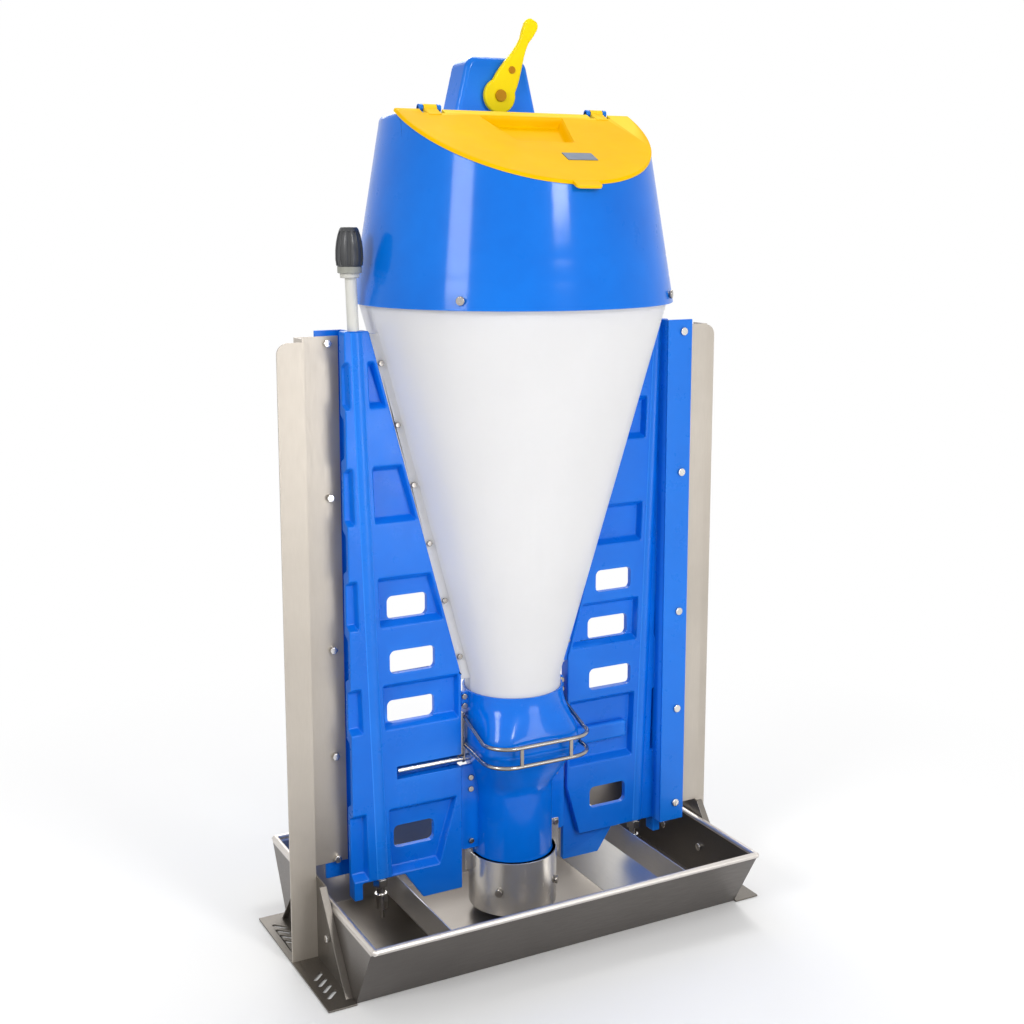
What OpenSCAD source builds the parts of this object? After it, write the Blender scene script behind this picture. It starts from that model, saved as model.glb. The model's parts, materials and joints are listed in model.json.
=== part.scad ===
// Double-sided wet and dry pig feeder: a feed hopper over a dosing unit, moulded side panels
// between stainless posts, and a stainless trough with two drinking bays.
// Front is -Y, the trough runs along X, and the ground is Z = 0. The two ends are half-turn copies.

/* [Trough] */
// Length of the trough over its rim
trough_l = 712; // [660:1:780]
// Width of the trough over its rim
trough_w = 460; // [430:1:520]
// Height of the trough rim
trough_h = 118; // [105:1:130]
// Width of the flat trough floor
trough_floor_w = 320; // [290:1:350]
// Thickness of the trough sheet
sheet = 2; // [1.5:0.1:3]
// Diameter of the rolled rim
rim_d = 10; // [8:0.5:12]
// Distance of each divider from the water pipe's lower end
divider_gap = 29; // [22:1:36]
// Height at which a divider folds towards the middle
divider_fold_z = 62; // [45:1:80]
// Reach of a divider's sloping foot
divider_foot = 45; // [30:1:60]

/* [End frames] */
// Thickness of the frame plate
plate = 3; // [2:0.1:4]
// Drop of the posts' top below the panels' top edge
post_drop = 14; // [10:1:30]
// Width of the outer fin of a post
fin_w = 40; // [30:1:60]
// Distance from the middle plane to the outside of the post's bolting flange
web_d = 34; // [28:1:44]
// Width of the post's bolting flange
flange_b_w = 71; // [60:1:76]
// Radius of the fin's top corner
fin_corner_r = 18; // [5:1:28]
// Width of the foot plate
foot_w = 47; // [44:1:70]
// Length of the foot plate
foot_l = 332; // [310:1:380]
// Rise of the end plate above the trough rim
gusset_up = 23; // [14:1:40]
// Width of the end plate at its top
gusset_top_w = 84; // [74:1:110]
// Width of the end plate at the ground
gusset_low_w = 300; // [280:1:306]
// Width of the folded lip along the end plate's slanting edges
gusset_lip = 12; // [8:1:18]
// Width of a foot slot
slot_w = 7; // [5:0.5:9]
// Length of a foot slot
slot_l = 27; // [20:1:30]
// Distance between foot slots
slot_pitch = 20; // [16:1:22]
// Distance from the fin to the first foot slot
slot_start = 62; // [50:1:70]

/* [Side panels] */
// Drop of the panel's top edge below the hopper's rim
panel_drop = 36; // [25:1:50]
// Dip of the panel's lower edge below the trough rim
panel_dip = 4; // [0:1:10]
// Depth of the panel from front face to rear face
panel_depth = 24; // [23:1:36]
// Depth of the pocket in each band
panel_pocket = 14; // [8:0.5:17]
// Thickness of the panel's walls
panel_wall = 5; // [4:0.1:6]
// Gap between the dosing unit's flanges and the panel's straight inner edge
panel_free = 4; // [3:0.5:8]
// Distance from the trough's end to the panel's web
panel_clear = 72; // [68:1:80]
// Reach of the panel's outer edge beyond the web
panel_edge = 13; // [10:1:16]
// Width of the strip that is bolted to the post
strip_w = 44; // [38:1:50]
// Width of the pipe rib
rib_w = 26; // [24:0.5:30]
// Height of a window
window_h = 38; // [34:1:42]
// Corner radius of a window
window_r = 9; // [4:0.5:12]
// Dip of the inner skirt below the trough rim
skirt_dip = 52; // [40:1:64]
// Width of the inner skirt at its lower end
skirt_w = 72; // [60:1:80]
// Dip of the outer tongue below the trough rim
tongue_dip = 32; // [20:1:38]
// Width of the outer tongue
tongue_w = 15; // [10:1:18]

/* [Water line] */
// Outside diameter of the water pipe
pipe_d = 18; // [16:0.5:20]
// Wall of the water pipe
pipe_wall = 2; // [1.5:0.1:2.5]
// Distance of the pipe's lower end from the panel's web
pipe_low_in = 37; // [32:1:40]
// Distance of the pipe's upper end from the panel's web
pipe_top_in = 3; // [0:1:12]
// Length of the pipe that shows below the panel
pipe_dip = 2; // [0:1:10]
// Rise of the pipe above the hopper's cone
pipe_up = 70; // [30:1:110]
// Diameter of the inlet coupling
coupling_d = 44; // [38:1:48]
// Height of the inlet coupling
coupling_h = 68; // [56:1:80]
// Diameter of the threaded water inlet
inlet_d = 20; // [18:0.1:22]
// Height of the slim inlet socket on the right-hand pipe
socket_h = 47; // [40:1:50]
// Drop of the right-hand pipe's upper end below the left-hand one
socket_drop = 24; // [20:1:30]
// Diameter of the drinking nipple
nipple_d = 21; // [19:0.5:24]
// Length of the drinking nipple below the pipe
nipple_l = 52; // [44:1:58]
// Diameter of the nipple's pin
nipple_pin_d = 8; // [7:0.5:9]
// Length of the nipple's pin that shows
nipple_pin_l = 18; // [12:1:22]
// Inward travel of the nipple's pin
nipple_travel = 3; // [2:0.5:4]

/* [Hopper] */
// Height of the hopper's cone
hopper_h = 620; // [560:1:680]
// Height of the hopper's upright rim
hopper_rim_h = 30; // [24:1:34]
// Outer radius of the hopper's neck
neck_r = 81; // [78:0.5:82]
// Length of the hopper's neck
neck_l = 38; // [30:1:42]
// Wall of the hopper
hopper_wall = 4; // [3:0.1:4.5]
// Width of the hopper's side flanges
hopper_flange_w = 18; // [16:0.5:19]
// Thickness of one half's side flange
hopper_flange_t = 4; // [3:0.1:5]

/* [Cover] */
// Gap between the hopper's rim and the cover's lower edge
cover_gap = 7; // [5:0.5:12]
// Overlap of the cover over the hopper's rim
cover_lap = 28; // [22:1:32]
// Height of the cover
cover_h = 293; // [270:1:310]
// Amount that the cover draws in towards its top
cover_draw = 49; // [40:1:60]
// Wall of the cover
cover_wall = 4; // [3:0.1:4.5]
// Radius of the cover's top edge
cover_edge_r = 14; // [8:1:20]
// Distance of the lid's hinge edge in front of the middle
slope_front = 10; // [6:1:14]
// Slope of the filling opening
slope_deg = 27; // [24:0.5:30]

/* [Lid] */
// Thickness of the lid
lid_t = 5; // [4:0.1:7]
// Depth of the grip recess
grip_depth = 16; // [10:1:20]
// Width of the grip recess at the hinge side
grip_w = 150; // [120:1:170]
// Length of the grip recess down the slope
grip_l = 62; // [50:1:75]
// Distance of each hinge from the cover's top edge
hinge_in = 61; // [50:1:75]
// Diameter of the hinge pins
hinge_pin_d = 5; // [4:0.5:6]
// Diameter of the hinge knuckles
knuckle_d = 14; // [12:0.5:15]
// Width of a lid knuckle
knuckle_w = 22; // [16:1:28]

/* [Dosing lever] */
// Width of the lever housing at its foot
housing_low_w = 150; // [140:1:164]
// Width of the lever housing at its top
housing_top_w = 104; // [96:1:116]
// Height of the lever housing
housing_h = 95; // [88:1:110]
// Depth of the lever housing
housing_d = 60; // [56:1:70]
// Distance of the housing's front wall behind the middle
housing_y = 52; // [50:1:58]
// Height of the lever's shaft above the cover
shaft_up = 34; // [32:1:38]
// Diameter of the lever's shaft
shaft_d = 12; // [10:0.5:14]
// Radius of the lever's hub
lever_hub_r = 28; // [22:1:30]
// Distance from the shaft to the lever's tip
lever_l = 136; // [110:1:150]
// Width of the lever's neck
lever_neck_w = 20; // [14:1:24]
// Width of the lever's tip
lever_tip_w = 27; // [20:1:32]
// Thickness of the lever
lever_t = 9; // [7:0.5:10]
// Lean of the lever at rest
lever_lean = 27; // [20:1:32]
// Throw of the crank in the housing
crank_r = 28; // [24:0.5:30]

/* [Dosing unit] */
// Diameter of the dosing rod
rod_d = 10; // [8:0.5:11]
// Radius of the dosing cone
dosing_r = 52; // [44:1:56]
// Height of the dosing cone
dosing_h = 38; // [30:1:40]
// Reach of the hood beyond its collar along the trough
hood_side = 2.7; // [1.5:0.1:4]
// Reach of the hood beyond its collar to the front and the rear
hood_out = 15.7; // [10:0.1:20]
// Corner radius of the hood
hood_corner_r = 38; // [30:1:44]
// Rise of the hood's widest belt above the rocking axle
hood_up = 20; // [16:1:24]
// Height of the hood's widest belt
hood_belt = 28; // [20:1:34]
// Height of the hood's shoulder above its belt
hood_top_h = 52; // [46:1:60]
// Height of the hood's taper below its belt
hood_taper_h = 73; // [60:1:80]
// Height of the collar round the hopper's neck
collar_h = 16; // [12:1:24]
// Outer radius of the down tube
down_r = 68; // [66:0.5:70]
// Depth of the down tube's end inside the steel feed tube
down_lap = 10; // [6:1:18]
// Wall of the dosing unit
hood_wall = 4; // [3:0.1:4.5]
// Width of the dosing unit's upper side flanges
hood_flange_w = 12.7; // [12:0.1:14]
// Gap between the down tube and the steel feed tube
feed_gap = 6; // [5:0.5:8]
// Height of the feed tube above the trough's floor
feed_up = 20; // [14:1:28]
// Height of the steel feed tube
feed_h = 94; // [86:1:102]

/* [Feeding bow] */
// Diameter of the bow's bars
bar_d = 7; // [6:0.5:8]
// Reach of the bow's front bars beyond the hood
bow_out = 18; // [17:0.5:26]
// Distance of the bow's side bars from the hood's sides
bow_side = 6.5; // [6:0.1:7]
// Inner corner radius of the bow, at the bar's middle
bow_corner_r = 42; // [36:1:50]
// Distance between the bow's upper and lower bars at the front
bow_h = 32; // [26:1:38]
// Diameter of the rocking axle
axle_d = 12; // [10:0.5:13]
// Height of the rocking axle above the feed tube
axle_up = 176; // [160:1:190]
// Half length of the rocking axle
axle_half = 214; // [190:1:222]
// Upper end of the bow's arms above the axle
arm_up = 73; // [66:1:76]
// Thickness of the bow's arms
arm_t = 3; // [2:0.1:3.5]

/* [Fasteners] */
// Diameter of the larger bolts
bolt_d = 8; // [6:0.5:9]
// Diameter of the smaller bolts
small_bolt_d = 6; // [5:0.5:6.5]

/* [Hidden] */
$fn = 64;

// Shared clearances and the overrun of cuts
run_fit = 0.05;
fit = 0.3;
cut = 1;

// Bolt heads and nuts, by the bolt's diameter
head_h_share = 0.55;
head_r_share = 0.85;
nut_h_share = 0.8;

// Trough
rim_r = rim_d / 2;
rim_corner_share = 1.06;
rim_end_share = 0.96;
wall_top_y = trough_w / 2 - rim_r;
wall_top_z = trough_h - rim_r;
end_x = trough_l / 2;
divider_top_z = trough_h - rim_d;

// Heights, one on the other from the trough's floor to the cover's top
feed_low_z = sheet + feed_up;
feed_high_z = feed_low_z + feed_h;
down_low_z = feed_high_z - down_lap;
axle_z = feed_high_z + axle_up;
hood_low_z = axle_z + hood_up;
hood_high_z = hood_low_z + hood_belt;
down_z = hood_low_z - hood_taper_h;
seat_z = hood_high_z + hood_top_h;
collar_z = seat_z + collar_h;
neck_z = seat_z + neck_l;
hopper_top_z = neck_z + hopper_h;
hopper_rim_z = hopper_top_z + hopper_rim_h;
cover_low_z = hopper_rim_z - cover_lap;
cover_top_z = cover_low_z + cover_h;
panel_top_z = hopper_top_z - panel_drop;
panel_low_z = trough_h - panel_dip;
post_h = panel_top_z - post_drop;
gusset_h = trough_h + gusset_up;
skirt_z = trough_h - skirt_dip;
tongue_z = trough_h - tongue_dip;
pipe_low_z = panel_low_z - pipe_dip;
pipe_top_z = hopper_top_z + pipe_up;
bow_high_z = hood_high_z;
bow_low_z = bow_high_z - bow_h;

// Widths, from the trough's ends inwards and from the hopper's neck outwards
panel_out_x = end_x - panel_clear;
panel_edge_x = panel_out_x + panel_edge;
pipe_low_x = panel_out_x - pipe_low_in;
pipe_top_x = panel_out_x - pipe_top_in;
divider_x = pipe_low_x - divider_gap;
cover_low_r = pipe_top_x - coupling_d / 2;
cover_top_r = cover_low_r - cover_draw;
hopper_top_r = cover_low_r - cover_wall - cover_gap;
collar_r = neck_r + fit + hood_wall;
hood_x = collar_r + hood_side;
hood_y = collar_r + hood_out;
hood_flange_x = collar_r + hood_flange_w;
panel_inner_x = hood_flange_x + panel_free;
feed_r = down_r + feed_gap;
bow_x = hood_x + bow_side;
bow_y = hood_y + bow_out;

// End frames, in the frame of the right-hand end
web_x = end_x + plate;
fin_out_x = web_x + plate + fin_w;
flange_b_in_x = web_x + plate - flange_b_w;
flange_low_z = max(trough_h + rim_d, gusset_h) + cut;
foot_out_x = end_x + foot_w;
slot_count = 4;
slot_turn = 45;
trough_bolt_share = 0.1867;
trough_bolt_z = trough_h / 2;
trough_bolt_y = trough_bolt_share * gusset_low_w;
lip_y = plate * norm([(gusset_low_w - gusset_top_w) / 2, gusset_h]) / gusset_h;

// Side panels, in the frame of the right-hand panel
panel_half = panel_depth / 2;
panel_gap = cut;
lip_t = panel_wall - cut;
strip_y = -web_d;
strip_in_x = panel_out_x - panel_wall;
band_top_shares = [0.958, 0.876, 0.795, 0.695, 0.617, 0.528, 0.442, 0.358, 0.233];
band_low_shares = [0.876, 0.795, 0.695, 0.617, 0.528, 0.442, 0.358, 0.233, 0.1124];
window_bands = [4, 5, 6, 8];
window_across_shares = [0.489, 0.57, 0.601, 0.613];
window_w_shares = [0.626, 0.598, 0.594, 0.54];
window_up_shares = [0.35, 0.365, 0.35, 0.511];
crease_z_share = 1.8;
crease_x_share = 0.36;
crease_end_share = 2.45;
skirt_reach_share = 1.45;
post_bolt_shares = [0.98, 0.74, 0.495, 0.319, 0.145];
post_bolt_x = (flange_b_in_x + panel_out_x + strip_w) / 2;
cone_slope = (hopper_top_r - neck_r) / (hopper_top_z - neck_z);
flange_top_z = panel_top_z - panel_wall;
pipe_slope = (pipe_top_x - pipe_low_x) / (pipe_top_z - pipe_low_z);
pipe_lean = atan(pipe_slope);
pipe_len = (pipe_top_z - pipe_low_z) / cos(pipe_lean);
kink_z = neck_z + (panel_inner_x - hopper_flange_w - panel_gap - neck_r) / cone_slope;
function cone_r(z) = neck_r + cone_slope * max(0, z - neck_z);
function inner_x(z) = max(panel_inner_x, cone_r(z) + hopper_flange_w + panel_gap);
function rib_x(z) = pipe_low_x + pipe_slope * (z - pipe_low_z);
function band_top(i) = band_top_shares[i] * panel_top_z;
function band_low(i) = band_low_shares[i] * panel_top_z;
field_top_z = min(panel_top_z, (pipe_low_x - pipe_slope * pipe_low_z - rib_w / 2 - neck_r
    - hopper_flange_w - panel_gap - panel_wall + cone_slope * neck_z) / (cone_slope - pipe_slope));
column_top_z =
    min(panel_top_z, pipe_low_z + (panel_edge_x - rib_w / 2 - pipe_low_x) / pipe_slope);
channel_half_z = axle_d / 2 + panel_wall - cut;
channel_back_y = axle_d / 2 + cut;

// Water line, along the leaning pipe
nipple_hex_share = 1.25;
nipple_hex_h = nipple_l / 4;
nipple_stub_l = nipple_l / 3;
nipple_bore_l = nipple_l / 2 + nipple_travel;
nipple_head_share = 0.7;
coupling_socket = coupling_h / 4;
coupling_bore_l = coupling_h / 2;
socket_bore_l = socket_h - coupling_socket - 2 * pipe_wall;
coupling_ribs = 12;
coupling_rib_share = 0.1;
coupling_shoulder_share = 0.86;
coupling_waist_share = 0.74;

// Hopper
hopper_bolt_shares = [0.07, 0.24, 0.41, 0.58, 0.75, 0.92];
hopper_bolt_share = 0.55;
hopper_bolt_zs = [for (s = hopper_bolt_shares) neck_z + s * (flange_top_z - neck_z)];
function hopper_bolt_x(z) = cone_r(z) + hopper_bolt_share * hopper_flange_w;

// Cover and lid
cover_taper = (cover_low_r - cover_top_r) / (cover_top_z - cover_low_z);
function cover_r(z) = cover_low_r - cover_taper * (z - cover_low_z);
edge_steps = 6;
cover_span = 2 * cover_low_r;
ledge_w = 12;
cover_bolt_z = cover_low_z + hopper_rim_h / 2;
hinge_x = cover_top_r - hinge_in;
hinge_y = -slope_front + knuckle_d / 4;
hinge_z = cover_top_z + knuckle_d / 2 + cut;
ear_w = 7;
ear_gap = 0.8;
ear_x = knuckle_w / 2 + ear_gap + ear_w / 2;
ear_out = ear_x + ear_w / 2;
knuckle_block_share = 1.5;
knuckle_block_l = knuckle_block_share * knuckle_d;
grip_start = 20;
grip_taper_share = 0.72;
tray_wall = 3;
mouth_y = (cover_top_r - cover_taper * slope_front * tan(slope_deg)) / (1 - cover_taper * tan(slope_deg));
slope_len = (mouth_y - slope_front) / cos(slope_deg);
tab_w = 44;
tab_l = 16;
plate_w = 52;
plate_l = 24;
plate_t = 1.2;
plate_x = 32;
plate_down_share = 0.706;

// Lever, crank and rod
housing_wall = 4;
housing_corner_r = 16;
housing_rear_y = housing_y + housing_d;
shaft_z = cover_top_z + shaft_up;
lever_back_y = housing_y - housing_wall / 2;
lever_front_y = lever_back_y - lever_t;
index_up = 46;
index_d = 12;
lever_head_h = 4;
lever_head_share = 0.8;
crank_y = housing_y + housing_wall + cut;
crank_t = 8;
crank_pin_d = 8;
crank_w = 18;
slot_play = 1.5;
head_y = crank_y + crank_t + cut;
head_t = 9;
head_h = 22;
head_edge = 5;
rod_top_y = head_y + head_t / 2;
crank_drop = crank_r * sin(lever_lean);
head_z = shaft_z - crank_drop;
slot_in_share = 0.52;
slot_out_share = 1.2;
slot_in_x = crank_r * slot_in_share;
slot_out_x = crank_r * slot_out_share;
rod_top_x = (slot_in_x + slot_out_x) / 2;
rod_top_share = 0.88;
rod_bend_high_z = hopper_top_z - hopper_rim_h;
rod_bend_low_z = neck_z + neck_l * 2;
guide_t = 6;
guide_hub_r = 10;
guide_spoke_w = 8;
guide_ring_w = 7;
cone_rise_share = 0.57;
cone_low_z = axle_z + axle_d / 2 + crank_r * cone_rise_share;

// Dosing unit and bow
seat_w = 11;
hood_flange_t = hopper_flange_t;
upper_flange_low_z = seat_z - neck_l / 3;
axle_free_z = 26;
tube_free_z = 14;
lower_flange_w = 12;
lower_flange_high_z = axle_z - axle_free_z;
lower_flange_low_z = feed_high_z + tube_free_z;
lower_flange_x = feed_r + sheet + lower_flange_w;
hood_upper_shares = [0.16, 0.72];
hood_lower_shares = [0.78, 0.93];
ear_bolt_z = feed_high_z + 2 * tube_free_z;
ear_plate_w = 14;
hood_bolt_x = hood_flange_x - head_r_share * small_bolt_d;
ear_bolt_x = lower_flange_x - small_bolt_d;
feed_bolt_z = (feed_low_z + feed_high_z) / 2 - rim_r;
arm_w = 16;
bow_high_end_z = axle_z + arm_up;
bow_low_end_z = axle_z + arm_up / 3;
tie_x = 46;
agitator_x = 30;
agitator_l = 76;
agitator_d = 8;
agitator_hub_d = axle_d + agitator_d;

module half_turn() rotate([0, 0, 180]) children();

// Extrudes an outline drawn in X and Z between two places along Y
module slab(y0, y1) translate([0, y1, 0]) rotate([90, 0, 0]) linear_extrude(y1 - y0) children();

// Extrudes an outline drawn in Y and Z between two places along X
module slab_x(x0, x1) translate([x0, 0, 0]) rotate([90, 0, 90]) linear_extrude(x1 - x0) children();

module rod_between(p, q, r) {
    d = q - p;
    l = norm(d);
    translate(p) rotate([0, acos(d[2] / l), atan2(d[1], d[0])]) cylinder(h = l, r = r);
}

module slot_outline(l, w) {
    square([l - w, w], center = true);
    for (s = [-1, 1]) translate([s * (l - w) / 2, 0]) circle(d = w);
}

module rounded_window(w, h, r) {
    square([w - 2 * r, h], center = true);
    square([w, h - 2 * r], center = true);
    for (sx = [-1, 1], sy = [-1, 1]) translate([sx * (w / 2 - r), sy * (h / 2 - r)]) circle(r = r);
}

// Hexagon bolt along Z: head from zero down, shank up through the grip, nut on top
module bolt(d, grip) {
    translate([0, 0, -head_h_share * d]) cylinder(h = head_h_share * d, r = head_r_share * d);
    cylinder(h = grip + nut_h_share * d, d = d - fit);
    translate([0, 0, grip]) cylinder(h = nut_h_share * d, r = head_r_share * d, $fn = 6);
}

// Bolt along Y with its head at y0, facing the front, and its nut at y1
module bolt_y(x, z, y0, y1, d) translate([x, y0, z]) rotate([-90, 0, 0]) bolt(d, y1 - y0);

module bolt_hole_y(x, z, d) {
    translate([x, -cover_span / 2, z]) rotate([-90, 0, 0]) cylinder(h = cover_span, d = d);
}

module front_half() translate([-cover_span, -cover_span, -cut])
    cube([2 * cover_span, cover_span, cover_top_z]);

// Trough and dividers
module trough_section(inset) {
    base = trough_floor_w / 2 - inset;
    polygon([[-base, inset], [base, inset], [wall_top_y - inset, wall_top_z + inset],
        [inset - wall_top_y, wall_top_z + inset]]);
}

module trough() {
    bead_x = end_x - sheet / 2 - rim_r * rim_end_share;
    color("dimgray") {
        difference() {
            slab_x(-end_x, end_x) trough_section(0);
            slab_x(sheet - end_x, end_x - sheet) trough_section(sheet);
            trough_bolt_places() cylinder(h = 2 * trough_l, d = bolt_d, center = true);
        }
        for (s = [-1, 1]) {
            translate([-bead_x, s * wall_top_y, wall_top_z]) rotate([0, 90, 0])
                cylinder(h = 2 * bead_x, r = rim_r);
            translate([s * bead_x, wall_top_y, wall_top_z]) rotate([90, 0, 0])
                cylinder(h = 2 * wall_top_y, r = rim_r * rim_end_share);
            for (t = [-1, 1]) translate([s * bead_x, t * wall_top_y, wall_top_z])
                sphere(r = rim_r * rim_corner_share);
        }
    }
}

// Places of the two bolts through each end wall of the trough
module trough_bolt_places() {
    for (s = [-1, 1]) translate([0, s * trough_bolt_y, trough_bolt_z]) rotate([0, 90, 0]) children();
}

module divider() {
    color("darkgray") intersection() {
        slab(-trough_w, trough_w) polygon([
            [divider_x, divider_top_z], [divider_x - sheet, divider_top_z],
            [divider_x - sheet, divider_fold_z], [divider_x - divider_foot - sheet, sheet],
            [divider_x - divider_foot, sheet], [divider_x, divider_fold_z]]);
        slab_x(0, end_x) trough_section(sheet + fit / 2);
    }
}

module divider_left() half_turn() divider();
module divider_right() divider();

// End frame: foot plate with slots, and the end plate with its folded lips
module end_plate_outline() {
    low = gusset_low_w / 2;
    top = gusset_top_w / 2;
    polygon([[-low, 0], [low, 0], [top, gusset_h], [-top, gusset_h]]);
}

module end_lip_outline() {
    low = gusset_low_w / 2;
    top = gusset_top_w / 2;
    polygon([[low - lip_y, 0], [low, 0], [top, gusset_h], [top - lip_y, gusset_h]]);
}

module end_frame() {
    color("silver") difference() {
        union() {
            slab_x(end_x, end_x + plate) end_plate_outline();
            translate([end_x, -foot_l / 2, 0]) cube([foot_w, foot_l, plate]);
            for (s = [0, 1]) mirror([0, s, 0]) slab_x(end_x, end_x + gusset_lip) end_lip_outline();
        }
        for (s = [0, 1], i = [0 : slot_count - 1]) mirror([0, s, 0])
            translate([(web_x + foot_out_x) / 2, slot_start + i * slot_pitch, -cut])
                rotate([0, 0, slot_turn]) linear_extrude(plate + 2 * cut) slot_outline(slot_l, slot_w);
        trough_bolt_places() cylinder(h = trough_l, d = bolt_d);
    }
}

module end_frame_left() half_turn() end_frame();
module end_frame_right() end_frame();

// Post: outer fin, web against the end plate, and the flange that the panel is bolted to
module post() {
    color("tan") difference() {
        union() {
            translate([web_x, 0, plate]) cube([fin_out_x - web_x, plate, post_h - plate]);
            translate([web_x, -web_d, flange_low_z])
                cube([plate, web_d + plate, post_h + rim_r - flange_low_z]);
            translate([web_x, -gusset_top_w / 2 + gusset_lip, plate])
                cube([plate, gusset_top_w / 2 - gusset_lip + plate, flange_low_z]);
            translate([flange_b_in_x, -web_d, flange_low_z])
                cube([flange_b_w, plate, post_h + rim_r - flange_low_z]);
        }
        translate([fin_out_x - fin_corner_r, -cut, post_h - fin_corner_r]) difference() {
            cube([fin_corner_r + cut, plate + 2 * cut, fin_corner_r + cut]);
            rotate([-90, 0, 0]) cylinder(h = plate + 2 * cut, r = fin_corner_r);
        }
        for (s = post_bolt_shares) bolt_hole_y(post_bolt_x, s * panel_top_z, bolt_d);
    }
}

module post_left() half_turn() post();
module post_right() post();

// Side panel: a board with pockets from the front and the rear in turn, so that it is a corrugated wall
module panel_outline() {
    skirt_x = panel_inner_x + skirt_w;
    polygon([
        [panel_inner_x, skirt_z], [skirt_x, skirt_z],
        [panel_inner_x + skirt_w * skirt_reach_share, panel_low_z],
        [panel_edge_x - tongue_w, panel_low_z], [panel_edge_x - tongue_w, tongue_z],
        [panel_edge_x, tongue_z], [panel_edge_x, panel_top_z],
        [inner_x(panel_top_z), panel_top_z], [panel_inner_x, kink_z]]);
}

module panel_fields() {
    in_x = panel_inner_x + panel_wall;
    polygon([[in_x, 0], [rib_x(0) - rib_w / 2, 0], [rib_x(field_top_z) - rib_w / 2, field_top_z],
        [in_x, kink_z]]);
    polygon([[rib_x(0) + rib_w / 2, 0], [panel_edge_x + cut, 0], [panel_edge_x + cut, column_top_z],
        [rib_x(column_top_z) + rib_w / 2, column_top_z]]);
}

module panel_band(i) {
    low = band_low(i) + panel_wall / 2;
    intersection() {
        panel_fields();
        translate([0, low]) square([panel_edge_x + cut, band_top(i) - panel_wall / 2 - low]);
    }
}

// Corner below the crease, where the skirt lies in the rear plane
module crease_outline() {
    polygon([
        [panel_inner_x - cut, 0], [panel_inner_x - cut, panel_low_z * crease_z_share],
        [panel_inner_x, panel_low_z * crease_z_share],
        [panel_inner_x + skirt_w * crease_x_share, panel_low_z],
        [panel_inner_x + skirt_w * crease_end_share, panel_low_z],
        [panel_inner_x + skirt_w * crease_end_share, 0]]);
}

module panel_windows() {
    for (k = [0 : len(window_bands) - 1]) {
        i = window_bands[k];
        z = band_low(i) + window_up_shares[k] * (band_top(i) - band_low(i));
        x0 = inner_x(z);
        w = rib_x(z) - rib_w / 2 - x0;
        translate([x0 + window_across_shares[k] * w, z])
            rounded_window(window_w_shares[k] * w, window_h, window_r);
    }
}

module panel_lip() {
    polygon([
        [cone_r(neck_z + panel_wall) + panel_gap, neck_z + panel_wall],
        [panel_inner_x + panel_wall, neck_z + panel_wall],
        [inner_x(flange_top_z) + panel_wall, flange_top_z],
        [cone_r(flange_top_z) + panel_gap, flange_top_z]]);
}

module panel() {
    color("royalblue") difference() {
        union() {
            difference() {
                slab(-panel_half, panel_half) panel_outline();
                for (i = [1 : 2 : len(band_low_shares) - 1])
                    slab(-panel_half - cut, panel_pocket - panel_half) panel_band(i);
                for (i = [0 : 2 : len(band_low_shares) - 1])
                    slab(panel_half - panel_pocket, panel_half + cut) difference() {
                        panel_band(i);
                        translate([panel_wall, panel_wall]) crease_outline();
                    }
                slab(-panel_half - cut, panel_pocket - panel_half) crease_outline();
            }
            slab(-hopper_flange_t - lip_t, -hopper_flange_t) panel_lip();
            slab(strip_y - panel_wall, strip_y) translate([strip_in_x, panel_low_z])
                square([strip_w + panel_wall, panel_top_z - panel_low_z]);
            slab(strip_y - panel_wall, panel_half - panel_pocket) translate([strip_in_x, panel_low_z])
                square([panel_wall, panel_top_z - panel_low_z]);
            for (i = [1 : 2 : len(band_low_shares) - 1])
                slab(strip_y, panel_half - panel_wall) translate([strip_in_x, band_low(i)])
                    square([panel_wall, band_top(i) - band_low(i)]);
            slab(-channel_back_y - panel_wall, panel_half)
                translate([panel_inner_x, axle_z - channel_half_z - panel_wall])
                square([axle_half - panel_inner_x + 2 * panel_wall, 2 * (channel_half_z + panel_wall)]);
        }
        slab(-channel_back_y, panel_half + cut) translate([panel_inner_x - cut, axle_z - channel_half_z])
            square([axle_half - panel_inner_x + panel_wall, 2 * channel_half_z]);
        slab(-panel_depth, panel_depth) panel_windows();
        along_pipe() translate([0, 0, -pipe_len]) cylinder(h = 2 * pipe_len, d = pipe_d + 2 * fit);
        for (s = post_bolt_shares) bolt_hole_y(post_bolt_x, s * panel_top_z, bolt_d);
        for (z = hopper_bolt_zs) bolt_hole_y(hopper_bolt_x(z), z, small_bolt_d);
    }
}

module panel_left() half_turn() panel();
module panel_right() panel();

// Water line: every piece follows the leaning axis of the pipe
module along_pipe() translate([pipe_low_x, 0, pipe_low_z]) rotate([0, pipe_lean, 0]) children();

module water_pipe(l) {
    color("gainsboro") along_pipe() difference() {
        cylinder(h = l, d = pipe_d);
        translate([0, 0, -cut]) cylinder(h = l + 2 * cut, d = pipe_d - 2 * pipe_wall);
    }
}

// Bores of an inlet piece of height h: the pipe's socket, the way through and the threaded mouth
module inlet_bores(h, mouth) {
    translate([0, 0, -cut]) cylinder(h = coupling_socket + cut, d = pipe_d + 2 * run_fit);
    cylinder(h = h, d = pipe_d - 2 * pipe_wall);
    translate([0, 0, h - mouth]) cylinder(h = h, d = inlet_d);
}

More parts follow.
